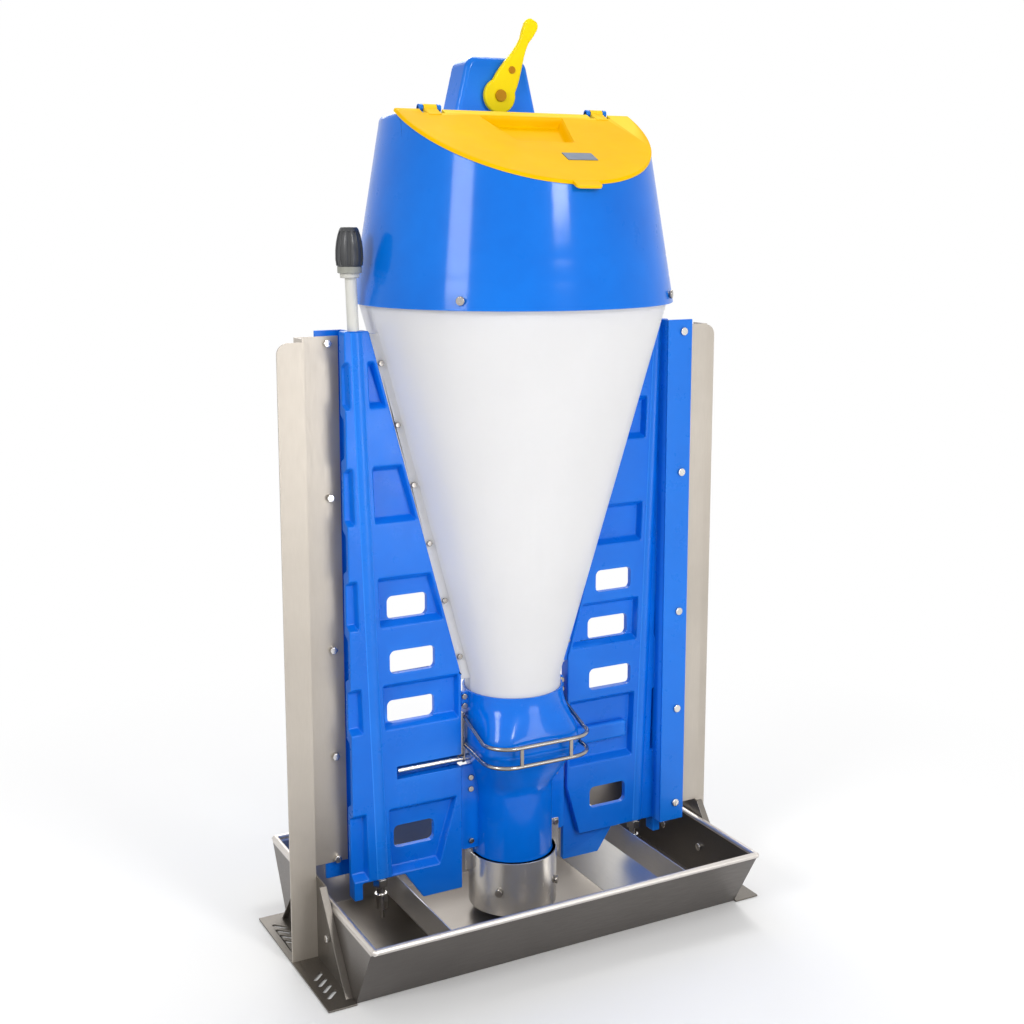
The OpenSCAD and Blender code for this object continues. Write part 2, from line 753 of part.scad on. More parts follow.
module inlet_coupling() {
    r = coupling_d / 2;
    color("dimgray") along_pipe() translate([0, 0, pipe_len - coupling_socket]) difference() {
        union() {
            rotate_extrude() polygon([
                [0, 0], [r * coupling_waist_share, 0], [r * coupling_waist_share, coupling_h / 4],
                [r, coupling_h / 4], [r, coupling_h * 3 / 4],
                    [r * coupling_shoulder_share, coupling_h * 3 / 4],
                [r * coupling_shoulder_share, coupling_h], [0, coupling_h]]);
            for (i = [0 : coupling_ribs - 1]) rotate([0, 0, i * 360 / coupling_ribs])
                translate([r, 0, coupling_h / 4])
                    cylinder(h = coupling_h / 2, r = r * coupling_rib_share);
        }
        inlet_bores(coupling_h, coupling_bore_l);
    }
}

module inlet_socket() {
    color("dimgray") along_pipe() translate([0, 0, pipe_len - socket_drop - coupling_socket])
        difference() {
        cylinder(h = socket_h, d = inlet_d + 2 * pipe_wall);
        inlet_bores(socket_h, socket_bore_l);
    }
}

module nipple() {
    bore = nipple_pin_d + 2 * run_fit;
    color("silver") along_pipe() difference() {
        union() {
            translate([0, 0, -nipple_l]) cylinder(h = nipple_l, d = nipple_d * nipple_head_share);
            translate([0, 0, -nipple_hex_h])
                cylinder(h = nipple_hex_h, d = nipple_d * nipple_hex_share, $fn = 6);
            translate([0, 0, -nipple_l]) cylinder(h = nipple_l / 2, d = nipple_d);
            cylinder(h = nipple_stub_l, d = pipe_d - 2 * pipe_wall - 2 * run_fit);
        }
        translate([0, 0, -nipple_l - cut]) cylinder(h = nipple_bore_l + cut, d = bore);
        cylinder(h = 2 * nipple_l, d = bore / 2, center = true);
    }
}

module nipple_pin() {
    color("lightgray") along_pipe() {
        translate([0, 0, -nipple_l - nipple_pin_l])
            cylinder(h = nipple_pin_l + nipple_l / 2, d = nipple_pin_d);
    }
}

module water_pipe_left() half_turn() water_pipe(pipe_len);
module water_pipe_right() water_pipe(pipe_len - socket_drop);
module inlet_coupling_left() half_turn() inlet_coupling();
module inlet_socket_right() inlet_socket();
module nipple_left() half_turn() nipple();
module nipple_right() nipple();
module nipple_pin_left() half_turn() nipple_pin();
module nipple_pin_right() nipple_pin();

// Hopper: a conical shell in two halves, bolted together along their side flanges
module hopper_shell() {
    in_r = neck_r - hopper_wall;
    top_in_r = hopper_top_r - hopper_wall;
    rotate_extrude() polygon([
        [in_r, seat_z], [neck_r, seat_z], [neck_r, neck_z], [hopper_top_r, hopper_top_z],
        [hopper_top_r, hopper_rim_z], [top_in_r, hopper_rim_z], [top_in_r, hopper_top_z],
            [in_r, neck_z]]);
}

module hopper_flange_outline() {
    in_r = neck_r - hopper_wall / 2;
    polygon([
        [in_r, neck_z], [neck_r + hopper_flange_w, neck_z],
        [cone_r(flange_top_z) + hopper_flange_w, flange_top_z],
            [cone_r(flange_top_z) - hopper_wall / 2, flange_top_z]]);
}

module hopper_half() {
    difference() {
        union() {
            difference() {
                hopper_shell();
                front_half();
            }
            for (s = [0, 1]) mirror([s, 0, 0]) slab(0, hopper_flange_t) hopper_flange_outline();
        }
        for (s = [-1, 1], z = hopper_bolt_zs) bolt_hole_y(s * hopper_bolt_x(z), z, small_bolt_d);
        cover_bolt_places() cylinder(h = cover_span, d = bolt_d);
    }
}

module hopper_front() color("white") half_turn() hopper_half();
module hopper_rear() color("white") hopper_half();

// Four bolts that hold the cover on the hopper's rim, each along its own radius
module cover_bolt_places() {
    for (i = [0 : 3]) rotate([0, 0, 45 + i * 90]) translate([0, 0, cover_bolt_z]) rotate([0, 90, 0])
        children();
}

// Cover: outer form, and the sloping frame of the filling opening
module cover_form(inset) {
    top = cover_top_z - inset;
    edge = cover_edge_r - inset;
    c = [cover_top_r - cover_edge_r, cover_top_z - cover_edge_r];
    rotate_extrude() polygon(concat(
        [[0, cover_low_z - (inset > 0 ? cut : 0)],
            [cover_low_r - inset, cover_low_z - (inset > 0 ? cut : 0)]],
        [for (i = [0 : edge_steps]) c + edge * [cos(i * 90 / edge_steps), sin(i * 90 / edge_steps)]],
        [[0, top]]));
}

module on_slope() translate([0, -slope_front, cover_top_z]) rotate([slope_deg, 0, 0]) children();

module hinge_cylinder(x, w, d) translate([x - w / 2, hinge_y, hinge_z]) rotate([0, 90, 0])
    cylinder(h = w, d = d);

module cover() {
    color("royalblue") difference() {
        union() {
            difference() {
                cover_form(0);
                cover_form(cover_wall);
                on_slope() translate([-cover_span, -cover_span, 0])
                    cube([2 * cover_span, cover_span, cover_span]);
            }
            rotate_extrude() translate([cover_r(hopper_rim_z) - cover_wall - ledge_w, hopper_rim_z])
                square([ledge_w + cover_wall / 2, cover_wall]);
            for (s = [-1, 1], t = [-1, 1]) {
                hinge_cylinder(s * hinge_x + t * ear_x, ear_w, knuckle_d);
                translate([s * hinge_x + t * ear_x - ear_w / 2, cut - slope_front,
                    cover_top_z - cover_wall / 2])
                    cube([ear_w, hinge_y + knuckle_d / 2 + slope_front - cut,
                        hinge_z - cover_top_z + cover_wall / 2]);
            }
        }
        for (s = [-1, 1]) hinge_cylinder(s * hinge_x, 2 * ear_out + cut, hinge_pin_d + 2 * run_fit);
        translate([rod_top_x, rod_top_y, cover_top_z - ledge_w]) cylinder(h = 2 * ledge_w, d = 2 * rod_d);
        cover_bolt_places() cylinder(h = cover_span, d = bolt_d);
    }
}

// Lid: a plate on the slope with a grip recess, a front tab and two knuckles
module lid_cone() {
    rotate_extrude() polygon([[0, cover_low_z], [cover_low_r, cover_low_z],
        [cover_r(cover_top_z + lid_t), cover_top_z + lid_t], [0, cover_top_z + lid_t]]);
}

module grip_outline(grow) {
    polygon([
        [-grip_w / 2 - grow, grow - grip_start],
            [-grip_w / 2 * grip_taper_share - grow, -grip_start - grip_l - grow],
        [grip_w / 2 * grip_taper_share + grow, -grip_start - grip_l - grow],
            [grip_w / 2 + grow, grow - grip_start]]);
}

module lid() {
    color("gold") difference() {
        union() {
            intersection() {
                lid_cone();
                on_slope() translate([-cover_span, -cover_span, fit])
                    cube([2 * cover_span, cover_span, lid_t]);
            }
            on_slope() translate([0, 0, fit + lid_t - grip_depth - tray_wall])
                linear_extrude(grip_depth + tray_wall - cut) grip_outline(tray_wall);
            on_slope() translate([-tab_w / 2, -slope_len - tab_l, fit])
                cube([tab_w, tab_l + tab_l, lid_t]);
            for (s = [-1, 1]) {
                hinge_cylinder(s * hinge_x, knuckle_w, knuckle_d);
                on_slope() translate([s * hinge_x - knuckle_w / 2 + cut, -knuckle_block_l, fit + cut])
                    cube([knuckle_w - 2 * cut, knuckle_block_l, knuckle_d / 2]);
            }
        }
        on_slope() translate([0, 0, fit + lid_t - grip_depth]) linear_extrude(grip_depth + knuckle_d)
            grip_outline(0);
        for (s = [-1, 1], t = [-1, 1])
            translate([s * hinge_x + t * ear_x - (ear_w + ear_gap) / 2, 0, 0])
                on_slope() translate([0, -knuckle_d, -knuckle_d])
                    cube([ear_w + ear_gap, 2 * knuckle_d, 3 * knuckle_d]);
        for (s = [-1, 1]) hinge_cylinder(s * hinge_x, 2 * knuckle_w, hinge_pin_d + 2 * run_fit);
    }
}

module lid_plate() {
    color("slategray") on_slope()
        translate([plate_x - plate_w / 2, -plate_down_share * slope_len, fit + lid_t])
        cube([plate_w, plate_l, plate_t]);
}

module hinge_pins() {
    color("silver") for (s = [-1, 1]) hinge_cylinder(s * hinge_x, 2 * ear_out, hinge_pin_d);
}

// Lever housing on the cover, with the lever's shaft through its front and rear walls
module housing_outline(inset) {
    r = housing_corner_r - inset;
    low = housing_low_w / 2 - inset;
    c = [housing_top_w / 2 - housing_corner_r, housing_h - housing_corner_r];
    arc = [for (i = [0 : edge_steps]) c + r * [cos(i * 90 / edge_steps), sin(i * 90 / edge_steps)]];
    polygon(concat([[-low, 0], [low, 0]], arc,
        [for (i = [0 : edge_steps]) [-arc[edge_steps - i][0], arc[edge_steps - i][1]]]));
}

module lever_housing() {
    color("royalblue") difference() {
        translate([0, 0, cover_top_z]) slab(housing_y, housing_rear_y) housing_outline(0);
        translate([0, 0, cover_top_z - cut]) slab(housing_y + housing_wall, housing_rear_y - housing_wall)
            housing_outline(housing_wall);
        translate([0, housing_y - cut, shaft_z]) rotate([-90, 0, 0])
            cylinder(h = housing_d + 2 * cut, d = shaft_d + 2 * run_fit);
    }
}

module on_lever() translate([0, 0, shaft_z]) rotate([0, lever_lean, 0]) children();

module lever_outline() {
    circle(r = lever_hub_r);
    polygon([
        [-lever_hub_r, 0], [lever_hub_r, 0], [lever_neck_w / 2, lever_l / 2],
        [lever_tip_w / 2, lever_l - lever_tip_w / 4], [-lever_tip_w / 2, lever_l - lever_tip_w / 4],
        [-lever_neck_w / 2, lever_l / 2]]);
    intersection() {
        translate([0, lever_l - lever_tip_w]) circle(r = lever_tip_w);
        translate([-lever_tip_w / 2, lever_l - lever_tip_w / 2]) square([lever_tip_w, lever_tip_w]);
    }
}

module lever() {
    color("yellow") on_lever() difference() {
        union() {
            slab(lever_front_y, lever_back_y) lever_outline();
            slab(lever_back_y - cut, housing_y - fit) circle(r = shaft_d);
        }
        slab(lever_front_y - cut, housing_y + cut) circle(d = shaft_d + 2 * run_fit);
        slab(lever_front_y - cut, housing_y + cut) translate([0, index_up])
            circle(d = index_d + 2 * run_fit);
    }
}

module lever_screws() {
    color("goldenrod") on_lever() {
        slab(lever_front_y - lever_head_h, lever_front_y) circle(r = shaft_d * lever_head_share);
        slab(lever_front_y - lever_head_h / 2, lever_back_y - cut) translate([0, index_up])
            circle(d = index_d);
    }
}

module lever_shaft() {
    color("silver") on_lever() {
        slab(lever_front_y, housing_rear_y - cut) circle(d = shaft_d);
        slab(crank_y, crank_y + crank_t) {
            circle(d = crank_w);
            translate([0, -crank_w / 2]) square([crank_r, crank_w]);
            translate([crank_r, 0]) circle(d = crank_w);
        }
        slab(crank_y, head_y + head_t) translate([crank_r, 0]) circle(d = crank_pin_d);
    }
}

// Dosing rod: a slotted head on the crank pin, and a bent rod down to the dosing cone
module dosing_rod() {
    slot_h = crank_pin_d + 2 * slot_play;
    top = [rod_top_x, rod_top_y, head_z - head_h / 2];
    bend_high = [rod_top_x, rod_top_y, rod_bend_high_z];
    bend_low = [0, 0, rod_bend_low_z];
    color("silver") {
        slab(head_y, head_y + head_t) translate([0, head_z]) difference() {
            translate([slot_in_x - head_edge, -head_h / 2])
                square([slot_out_x - slot_in_x + 2 * head_edge, head_h]);
            translate([slot_in_x, -slot_h / 2]) square([slot_out_x - slot_in_x, slot_h]);
        }
        rod_between(bend_high, top + [0, 0, cut], rod_top_share * rod_d / 2);
        rod_between(bend_low, bend_high, rod_d / 2);
        rod_between([0, 0, cone_low_z + cut], bend_low, rod_d / 2);
        for (p = [bend_high, bend_low]) translate(p) sphere(r = rod_d / 2 * rim_corner_share);
    }
}

module dosing_cone() {
    color("royalblue") difference() {
        rotate_extrude() polygon([
            [0, cone_low_z], [dosing_r, cone_low_z], [dosing_r, cone_low_z + panel_wall],
            [rod_d, cone_low_z + dosing_h], [0, cone_low_z + dosing_h]]);
        translate([0, 0, cone_low_z + cut]) cylinder(h = dosing_h, d = rod_d + 2 * run_fit);
    }
}

// Guide spider on the dosing unit's inner seat, inside the hopper's neck
module rod_guide() {
    out_r = neck_r - hopper_wall - fit;
    color("silver") translate([0, 0, seat_z]) difference() {
        union() {
            cylinder(h = guide_t, r = guide_hub_r);
            difference() {
                cylinder(h = guide_t, r = out_r);
                translate([0, 0, -cut]) cylinder(h = guide_t + 2 * cut, r = out_r - guide_ring_w);
            }
            for (i = [0 : 2]) rotate([0, 0, 90 + i * 120]) translate([0, -guide_spoke_w / 2, 0])
                cube([out_r - guide_ring_w / 2, guide_spoke_w, guide_t]);
        }
        translate([0, 0, -cut]) cylinder(h = guide_t + 2 * cut, d = rod_d + 2 * run_fit);
    }
}

// Dosing unit: a collar on the hopper's neck, a wide hood, and the down tube, in two bolted halves
module hood_box(inset) {
    for (sx = [-1, 1], sy = [-1, 1])
        translate([sx * (hood_x - hood_corner_r), sy * (hood_y - hood_corner_r), hood_low_z])
            cylinder(h = hood_high_z - hood_low_z, r = hood_corner_r - inset, $fn = 32);
}

module hood_form(inset) {
    hull() {
        hood_box(inset);
        translate([0, 0, seat_z - cut]) cylinder(h = cut, r = collar_r - inset, $fn = 48);
    }
    hull() {
        hood_box(inset);
        translate([0, 0, down_z]) cylinder(h = cut, r = down_r - inset, $fn = 48);
    }
    translate([0, 0, down_low_z - (inset > 0 ? cut : 0)])
        cylinder(h = down_z + 2 * cut - down_low_z, r = down_r - inset);
}

module hood_half() {
    difference() {
        union() {
            difference() {
                union() {
                    hood_form(0);
                    translate([0, 0, seat_z - 2 * cut])
                        cylinder(h = collar_z - seat_z + 2 * cut, r = collar_r);
                    translate([-hood_flange_x, 0, upper_flange_low_z])
                        cube([2 * hood_flange_x, hood_flange_t, collar_z - upper_flange_low_z]);
                    translate([-lower_flange_x, 0, lower_flange_low_z])
                        cube([2 * lower_flange_x, hood_flange_t,
                            lower_flange_high_z - lower_flange_low_z]);
                }
                hood_form(hood_wall);
                translate([0, 0, seat_z - 2 * cut]) cylinder(h = collar_z, r = neck_r - seat_w);
                translate([0, 0, seat_z]) cylinder(h = collar_z, r = neck_r + fit);
                front_half();
            }
        }
        for (s = [-1, 1], t = hood_upper_shares)
            bolt_hole_y(s * hood_bolt_x, upper_flange_low_z + t * (collar_z - upper_flange_low_z),
                small_bolt_d);
        for (s = [-1, 1], t = hood_lower_shares)
            bolt_hole_y(s * ear_bolt_x,
                lower_flange_low_z + t * (lower_flange_high_z - lower_flange_low_z), small_bolt_d);
        for (s = [-1, 1]) bolt_hole_y(s * ear_bolt_x, ear_bolt_z, small_bolt_d);
        translate([-axle_half, 0, axle_z]) rotate([0, 90, 0])
            cylinder(h = 2 * axle_half, d = axle_d + 2 * run_fit);
        for (i = [0 : 3]) rotate([0, 0, 45 + i * 90]) translate([0, 0, feed_bolt_z]) rotate([0, 90, 0])
            cylinder(h = cover_span, d = bolt_d);
    }
}

module hood_front() color("dodgerblue") half_turn() hood_half();
module hood_rear() color("dodgerblue") hood_half();

// Steel feed tube round the down tube's end, hung from two ears
module feed_tube() {
    out_r = feed_r + sheet;
    color("silver") difference() {
        union() {
            difference() {
                translate([0, 0, feed_low_z]) cylinder(h = feed_high_z - feed_low_z, r = out_r);
                translate([0, 0, feed_low_z - cut])
                    cylinder(h = feed_high_z - feed_low_z + 2 * cut, r = feed_r);
            }
            for (s = [0, 1]) rotate([0, 0, s * 180])
                translate([lower_flange_x - ear_plate_w, -hood_flange_t - sheet,
                    feed_high_z - 2 * ear_plate_w])
                    cube([ear_plate_w, sheet,
                        ear_bolt_z + ear_plate_w / 2 - feed_high_z + 2 * ear_plate_w]);
        }
        for (s = [-1, 1]) bolt_hole_y(s * ear_bolt_x, ear_bolt_z, small_bolt_d);
        for (i = [0 : 3]) rotate([0, 0, 45 + i * 90]) translate([0, 0, feed_bolt_z]) rotate([0, 90, 0])
            cylinder(h = cover_span, d = bolt_d);
    }
}

// Feeding bow: two bars round the hood, with ties, carried on arms that rock with the axle
module bow_bar(end_z, front_z) {
    r = bar_d / 2;
    c = bow_corner_r;
    turn_y = c - bow_y;
    start_y = -arm_w / 2 - fit - r * sin(atan2(end_z - front_z, -turn_y - arm_w / 2));
    for (s = [0, 1]) mirror([s, 0, 0]) {
        rod_between([bow_x, start_y, end_z], [bow_x, turn_y, front_z], r);
        translate([bow_x - c, turn_y, front_z]) rotate([0, 0, -90]) rotate_extrude(angle = 90)
            translate([c, 0]) circle(r = r);
        translate([bow_x, turn_y, front_z]) sphere(r = r * rim_corner_share);
    }
    translate([c - bow_x, -bow_y, front_z]) rotate([0, 90, 0]) cylinder(h = 2 * (bow_x - c), r = r);
}

module bow() {
    color("silver") {
        bow_bar(bow_high_end_z, bow_high_z);
        bow_bar(bow_low_end_z, bow_low_z);
        for (s = [-1, 1]) translate([s * tie_x, -bow_y, bow_low_z])
            cylinder(h = bow_high_z - bow_low_z, d = bar_d * rim_end_share);
    }
}

module bow_front() bow();
module bow_rear() half_turn() bow();

module bow_arms() {
    x0 = bow_x - arm_t / 2;
    color("gray") for (s = [0, 1]) mirror([s, 0, 0]) difference() {
        slab_x(x0, x0 + arm_t) {
            translate([0, axle_z]) circle(d = arm_w);
            translate([-arm_w / 2, axle_z]) square([arm_w, arm_up + bar_d]);
        }
        translate([0, 0, axle_z]) rotate([0, 90, 0]) cylinder(h = axle_half, d = axle_d + 2 * run_fit);
    }
}

module rocking_axle() {
    color("lightgray") translate([-axle_half, 0, axle_z]) rotate([0, 90, 0])
        cylinder(h = 2 * axle_half, d = axle_d);
}

module agitator() {
    color("gray") difference() {
        union() {
            translate([-agitator_x - agitator_d, 0, axle_z]) rotate([0, 90, 0])
                cylinder(h = 2 * (agitator_x + agitator_d), d = agitator_hub_d);
            for (s = [-1, 1]) translate([s * agitator_x, 0, axle_z - agitator_l])
                cylinder(h = agitator_l, d = agitator_d);
        }
        translate([-axle_half, 0, axle_z]) rotate([0, 90, 0])
            cylinder(h = 2 * axle_half, d = axle_d + 2 * run_fit);
    }
}

// Fasteners
module post_bolts() {
    color("silver") for (t = [0, 1], s = post_bolt_shares) rotate([0, 0, t * 180])
        bolt_y(post_bolt_x, s * panel_top_z, strip_y - panel_wall, strip_y + plate, bolt_d);
}

module hopper_bolts() {
    color("silver") for (t = [0, 1], z = hopper_bolt_zs) rotate([0, 0, t * 180])
        bolt_y(hopper_bolt_x(z), z, -hopper_flange_t - lip_t, hopper_flange_t, small_bolt_d);
}

module cover_bolts() {
    out = cover_r(cover_bolt_z - head_r_share * bolt_d) + fit;
    color("silver") cover_bolt_places() translate([0, 0, out]) rotate([180, 0, 0])
        bolt(bolt_d, out - hopper_top_r + hopper_wall + cut);
}

module trough_bolts() {
    color("silver") for (t = [0, 1]) rotate([0, 0, t * 180]) trough_bolt_places()
        translate([0, 0, end_x - sheet]) bolt(bolt_d, sheet + plate);
}

module hood_bolts() {
    color("silver") for (s = [-1, 1]) {
        for (t = hood_upper_shares)
            bolt_y(s * hood_bolt_x, upper_flange_low_z + t * (collar_z - upper_flange_low_z),
                -hood_flange_t, hood_flange_t, small_bolt_d);
        for (t = hood_lower_shares)
            bolt_y(s * ear_bolt_x, lower_flange_low_z + t * (lower_flange_high_z - lower_flange_low_z),
                -hood_flange_t, hood_flange_t, small_bolt_d);
    }
}

module tube_bolts() {
    out = feed_r + sheet + cut;
    color("silver") {
        for (t = [0, 1]) rotate([0, 0, t * 180])
            bolt_y(ear_bolt_x, ear_bolt_z, -hood_flange_t - sheet, hood_flange_t, small_bolt_d);
        for (i = [0 : 3]) rotate([0, 0, 45 + i * 90]) translate([out, 0, feed_bolt_z]) rotate([0, -90, 0])
            bolt(bolt_d, sheet + 2 * cut);
    }
}

trough();
divider_left();
divider_right();
end_frame_left();
end_frame_right();
post_left();
post_right();
panel_left();
panel_right();
water_pipe_left();
water_pipe_right();
inlet_coupling_left();
inlet_socket_right();
nipple_left();
nipple_right();
nipple_pin_left();
nipple_pin_right();
hopper_front();
hopper_rear();
cover();
lid();
lid_plate();
hinge_pins();
lever_housing();
lever();
lever_screws();
lever_shaft();
dosing_rod();
dosing_cone();
rod_guide();
hood_front();
hood_rear();
feed_tube();
bow_front();
bow_rear();
bow_arms();
rocking_axle();
agitator();
post_bolts();
hopper_bolts();
cover_bolts();
trough_bolts();
hood_bolts();
tube_bolts();
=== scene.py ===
import bpy
import json
import math
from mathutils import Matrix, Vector

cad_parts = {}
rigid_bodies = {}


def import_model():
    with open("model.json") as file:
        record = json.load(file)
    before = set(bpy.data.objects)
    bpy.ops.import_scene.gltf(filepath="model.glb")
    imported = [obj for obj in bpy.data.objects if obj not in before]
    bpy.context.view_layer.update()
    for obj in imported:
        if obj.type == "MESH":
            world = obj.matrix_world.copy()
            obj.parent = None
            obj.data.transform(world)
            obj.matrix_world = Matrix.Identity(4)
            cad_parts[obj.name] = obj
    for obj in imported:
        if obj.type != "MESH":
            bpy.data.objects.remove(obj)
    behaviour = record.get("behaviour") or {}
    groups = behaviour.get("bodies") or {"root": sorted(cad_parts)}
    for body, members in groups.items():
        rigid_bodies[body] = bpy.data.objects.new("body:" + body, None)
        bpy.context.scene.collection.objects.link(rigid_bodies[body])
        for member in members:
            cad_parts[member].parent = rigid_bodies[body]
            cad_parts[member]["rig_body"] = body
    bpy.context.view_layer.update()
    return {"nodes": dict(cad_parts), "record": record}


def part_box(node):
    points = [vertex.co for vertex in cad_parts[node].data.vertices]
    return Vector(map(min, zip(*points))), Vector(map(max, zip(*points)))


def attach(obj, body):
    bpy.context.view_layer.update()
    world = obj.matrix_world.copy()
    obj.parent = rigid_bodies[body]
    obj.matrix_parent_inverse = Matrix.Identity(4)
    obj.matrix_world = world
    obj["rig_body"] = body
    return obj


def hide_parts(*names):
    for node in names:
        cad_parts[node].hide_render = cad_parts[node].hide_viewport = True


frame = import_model()
nodes = frame["nodes"]
scene = bpy.context.scene
print("frame loaded:", len(nodes), "nodes")


# finishes

def startFinish(name):
    mat = bpy.data.materials.new(name)
    mat.use_nodes = True
    tree = mat.node_tree
    tree.nodes.clear()
    out = tree.nodes.new("ShaderNodeOutputMaterial")
    shader = tree.nodes.new("ShaderNodeBsdfPrincipled")
    tree.links.new(shader.outputs["BSDF"], out.inputs["Surface"])
    return mat, tree, shader


def patternSpace(tree, stretch=(1, 1, 1)):
    coords = tree.nodes.new("ShaderNodeTexCoord")
    mapping = tree.nodes.new("ShaderNodeMapping")
    mapping.inputs["Scale"].default_value = stretch
    tree.links.new(coords.outputs["Object"], mapping.inputs["Vector"])
    return mapping.outputs["Vector"]


def noiseOn(tree, space, scale, detail=3.0, roughness=0.5):
    tex = tree.nodes.new("ShaderNodeTexNoise")
    tex.inputs["Scale"].default_value = scale
    tex.inputs["Detail"].default_value = detail
    tex.inputs["Roughness"].default_value = roughness
    tree.links.new(space, tex.inputs["Vector"])
    return tex.outputs["Fac"]


def rampOn(tree, fac, stops):
    ramp = tree.nodes.new("ShaderNodeValToRGB")
    points = ramp.color_ramp.elements
    while len(points) < len(stops):
        points.new(0.5)
    for point, (pos, colour) in zip(points, stops):
        point.position = pos
        point.color = (*colour, 1) if len(colour) == 3 else colour
    tree.links.new(fac, ramp.inputs["Fac"])
    return ramp.outputs["Color"]


def rangeOn(tree, fac, low, high, fromLow=0.3, fromHigh=0.7):
    node = tree.nodes.new("ShaderNodeMapRange")
    node.inputs["From Min"].default_value = fromLow
    node.inputs["From Max"].default_value = fromHigh
    node.inputs["To Min"].default_value = low
    node.inputs["To Max"].default_value = high
    tree.links.new(fac, node.inputs["Value"])
    return node.outputs["Result"]


def mixColours(tree, fac, a, b, blend="MIX"):
    node = tree.nodes.new("ShaderNodeMix")
    node.data_type = "RGBA"
    node.blend_type = blend
    for socket, value in ((node.inputs[0], fac), (node.inputs[6], a), (node.inputs[7], b)):
        if hasattr(value, "is_output"):
            tree.links.new(value, socket)
        elif isinstance(value, (int, float)):
            socket.default_value = value
        else:
            socket.default_value = (*value, 1)
    return node.outputs[2]


def bumpOn(tree, height, strength, distance, under=None):
    node = tree.nodes.new("ShaderNodeBump")
    node.inputs["Strength"].default_value = strength
    node.inputs["Distance"].default_value = distance
    tree.links.new(height, node.inputs["Height"])
    if under is not None:
        tree.links.new(under, node.inputs["Normal"])
    return node.outputs["Normal"]


def edgeOn(tree, low, high):
    geo = tree.nodes.new("ShaderNodeNewGeometry")
    return rangeOn(tree, geo.outputs["Pointiness"], 0.0, 1.0, low, high)


def mouldedPlastic(name, look):
    mat, tree, shader = startFinish(name)
    space = patternSpace(tree)
    cloud = noiseOn(tree, space, look["cloud"], 4.0, 0.6)
    base = rampOn(tree, cloud, [(0.3, look["dark"]), (0.7, look["light"])])
    # painted highlight: sharp convex edges (pointiness) take the brighter "edge" colour, as if catching the
    # light
    edgeHighlight = mixColours(tree, edgeOn(tree, 0.53, 0.62), base, look["edge"])
    tree.links.new(edgeHighlight, shader.inputs["Base Color"])
    scuff = noiseOn(tree, space, look["scuff"], 5.0, 0.65)
    tree.links.new(rangeOn(tree, scuff, *look["gloss"]), shader.inputs["Roughness"])
    grain = noiseOn(tree, space, look["grain"], 2.0, 0.5)
    wave = noiseOn(tree, space, look["wave"], 1.0, 0.4)
    under = bumpOn(tree, wave, 0.25, 0.0012)
    tree.links.new(bumpOn(tree, grain, look["grainDepth"], 0.0002, under), shader.inputs["Normal"])
    shader.inputs["Specular IOR Level"].default_value = look["shine"]
    shader.inputs["Coat Weight"].default_value = look["coat"]
    shader.inputs["Coat Roughness"].default_value = look["coatGloss"]
    return mat


def heightOn(tree, vector, low, high):
    split = tree.nodes.new("ShaderNodeSeparateXYZ")
    tree.links.new(vector, split.inputs["Vector"])
    return rangeOn(tree, split.outputs["Z"], 0.0, 1.0, low, high)


def sheetSteel(name, look):
    mat, tree, shader = startFinish(name)
    flow = patternSpace(tree, look["brush"])
    streak = noiseOn(tree, flow, 60.0, 4.0, 0.6)
    space = patternSpace(tree)
    stain = noiseOn(tree, space, look["stain"], 5.0, 0.6)
    base = rampOn(tree, stain, [(0.3, look["dark"]), (0.72, look["light"])])
    lined = mixColours(tree, rangeOn(tree, streak, 0.0, look["lines"]), base, look["dark"])
    if "inner" in look:  # painted light: faces that look up are painted lighter, as if lit from above
        facing = tree.nodes.new("ShaderNodeNewGeometry")
        lined = mixColours(tree, heightOn(tree, facing.outputs["Normal"], -0.05, 0.12), lined, look["inner"])
        # painted highlight: everything above the rim bead's height takes the bright "rim" colour
        lined = mixColours(tree, heightOn(tree, space, 0.1065, 0.1085), lined, look["rim"])
    tree.links.new(lined, shader.inputs["Base Color"])
    smear = mixColours(tree, 0.5, streak, stain)
    tree.links.new(rangeOn(tree, smear, *look["gloss"]), shader.inputs["Roughness"])
    wave = noiseOn(tree, space, 7.0, 1.0, 0.4)
    under = bumpOn(tree, wave, 0.18, 0.0015)
    tree.links.new(bumpOn(tree, streak, look["brushDepth"], 0.0001, under), shader.inputs["Normal"])
    shader.inputs["Metallic"].default_value = look.get("metal", 1.0)
    return mat


def milkyPlastic(name, look):
    mat, tree, shader = startFinish(name)
    out = next(n for n in tree.nodes if n.type == "OUTPUT_MATERIAL")
    space = patternSpace(tree)
    cloud = noiseOn(tree, space, 5.0, 4.0, 0.55)
    base = rampOn(tree, cloud, [(0.3, look["dark"]), (0.7, look["light"])])
    tree.links.new(base, shader.inputs["Base Color"])
    scuff = noiseOn(tree, space, 26.0, 4.0, 0.6)
    tree.links.new(rangeOn(tree, scuff, *look["gloss"]), shader.inputs["Roughness"])
    wave = noiseOn(tree, space, 9.0, 1.0, 0.4)
    under = bumpOn(tree, wave, 0.2, 0.0012)
    grain = noiseOn(tree, space, 700.0, 2.0, 0.5)
    normal = bumpOn(tree, grain, 0.05, 0.0002, under)
    tree.links.new(normal, shader.inputs["Normal"])
    glow = tree.nodes.new("ShaderNodeBsdfTranslucent")
    tree.links.new(base, glow.inputs["Color"])
    both = tree.nodes.new("ShaderNodeMixShader")
    both.inputs["Fac"].default_value = look["through"]
    tree.links.new(shader.outputs["BSDF"], both.inputs[1])
    tree.links.new(glow.outputs["BSDF"], both.inputs[2])
    tree.links.new(both.outputs["Shader"], out.inputs["Surface"])
    return mat
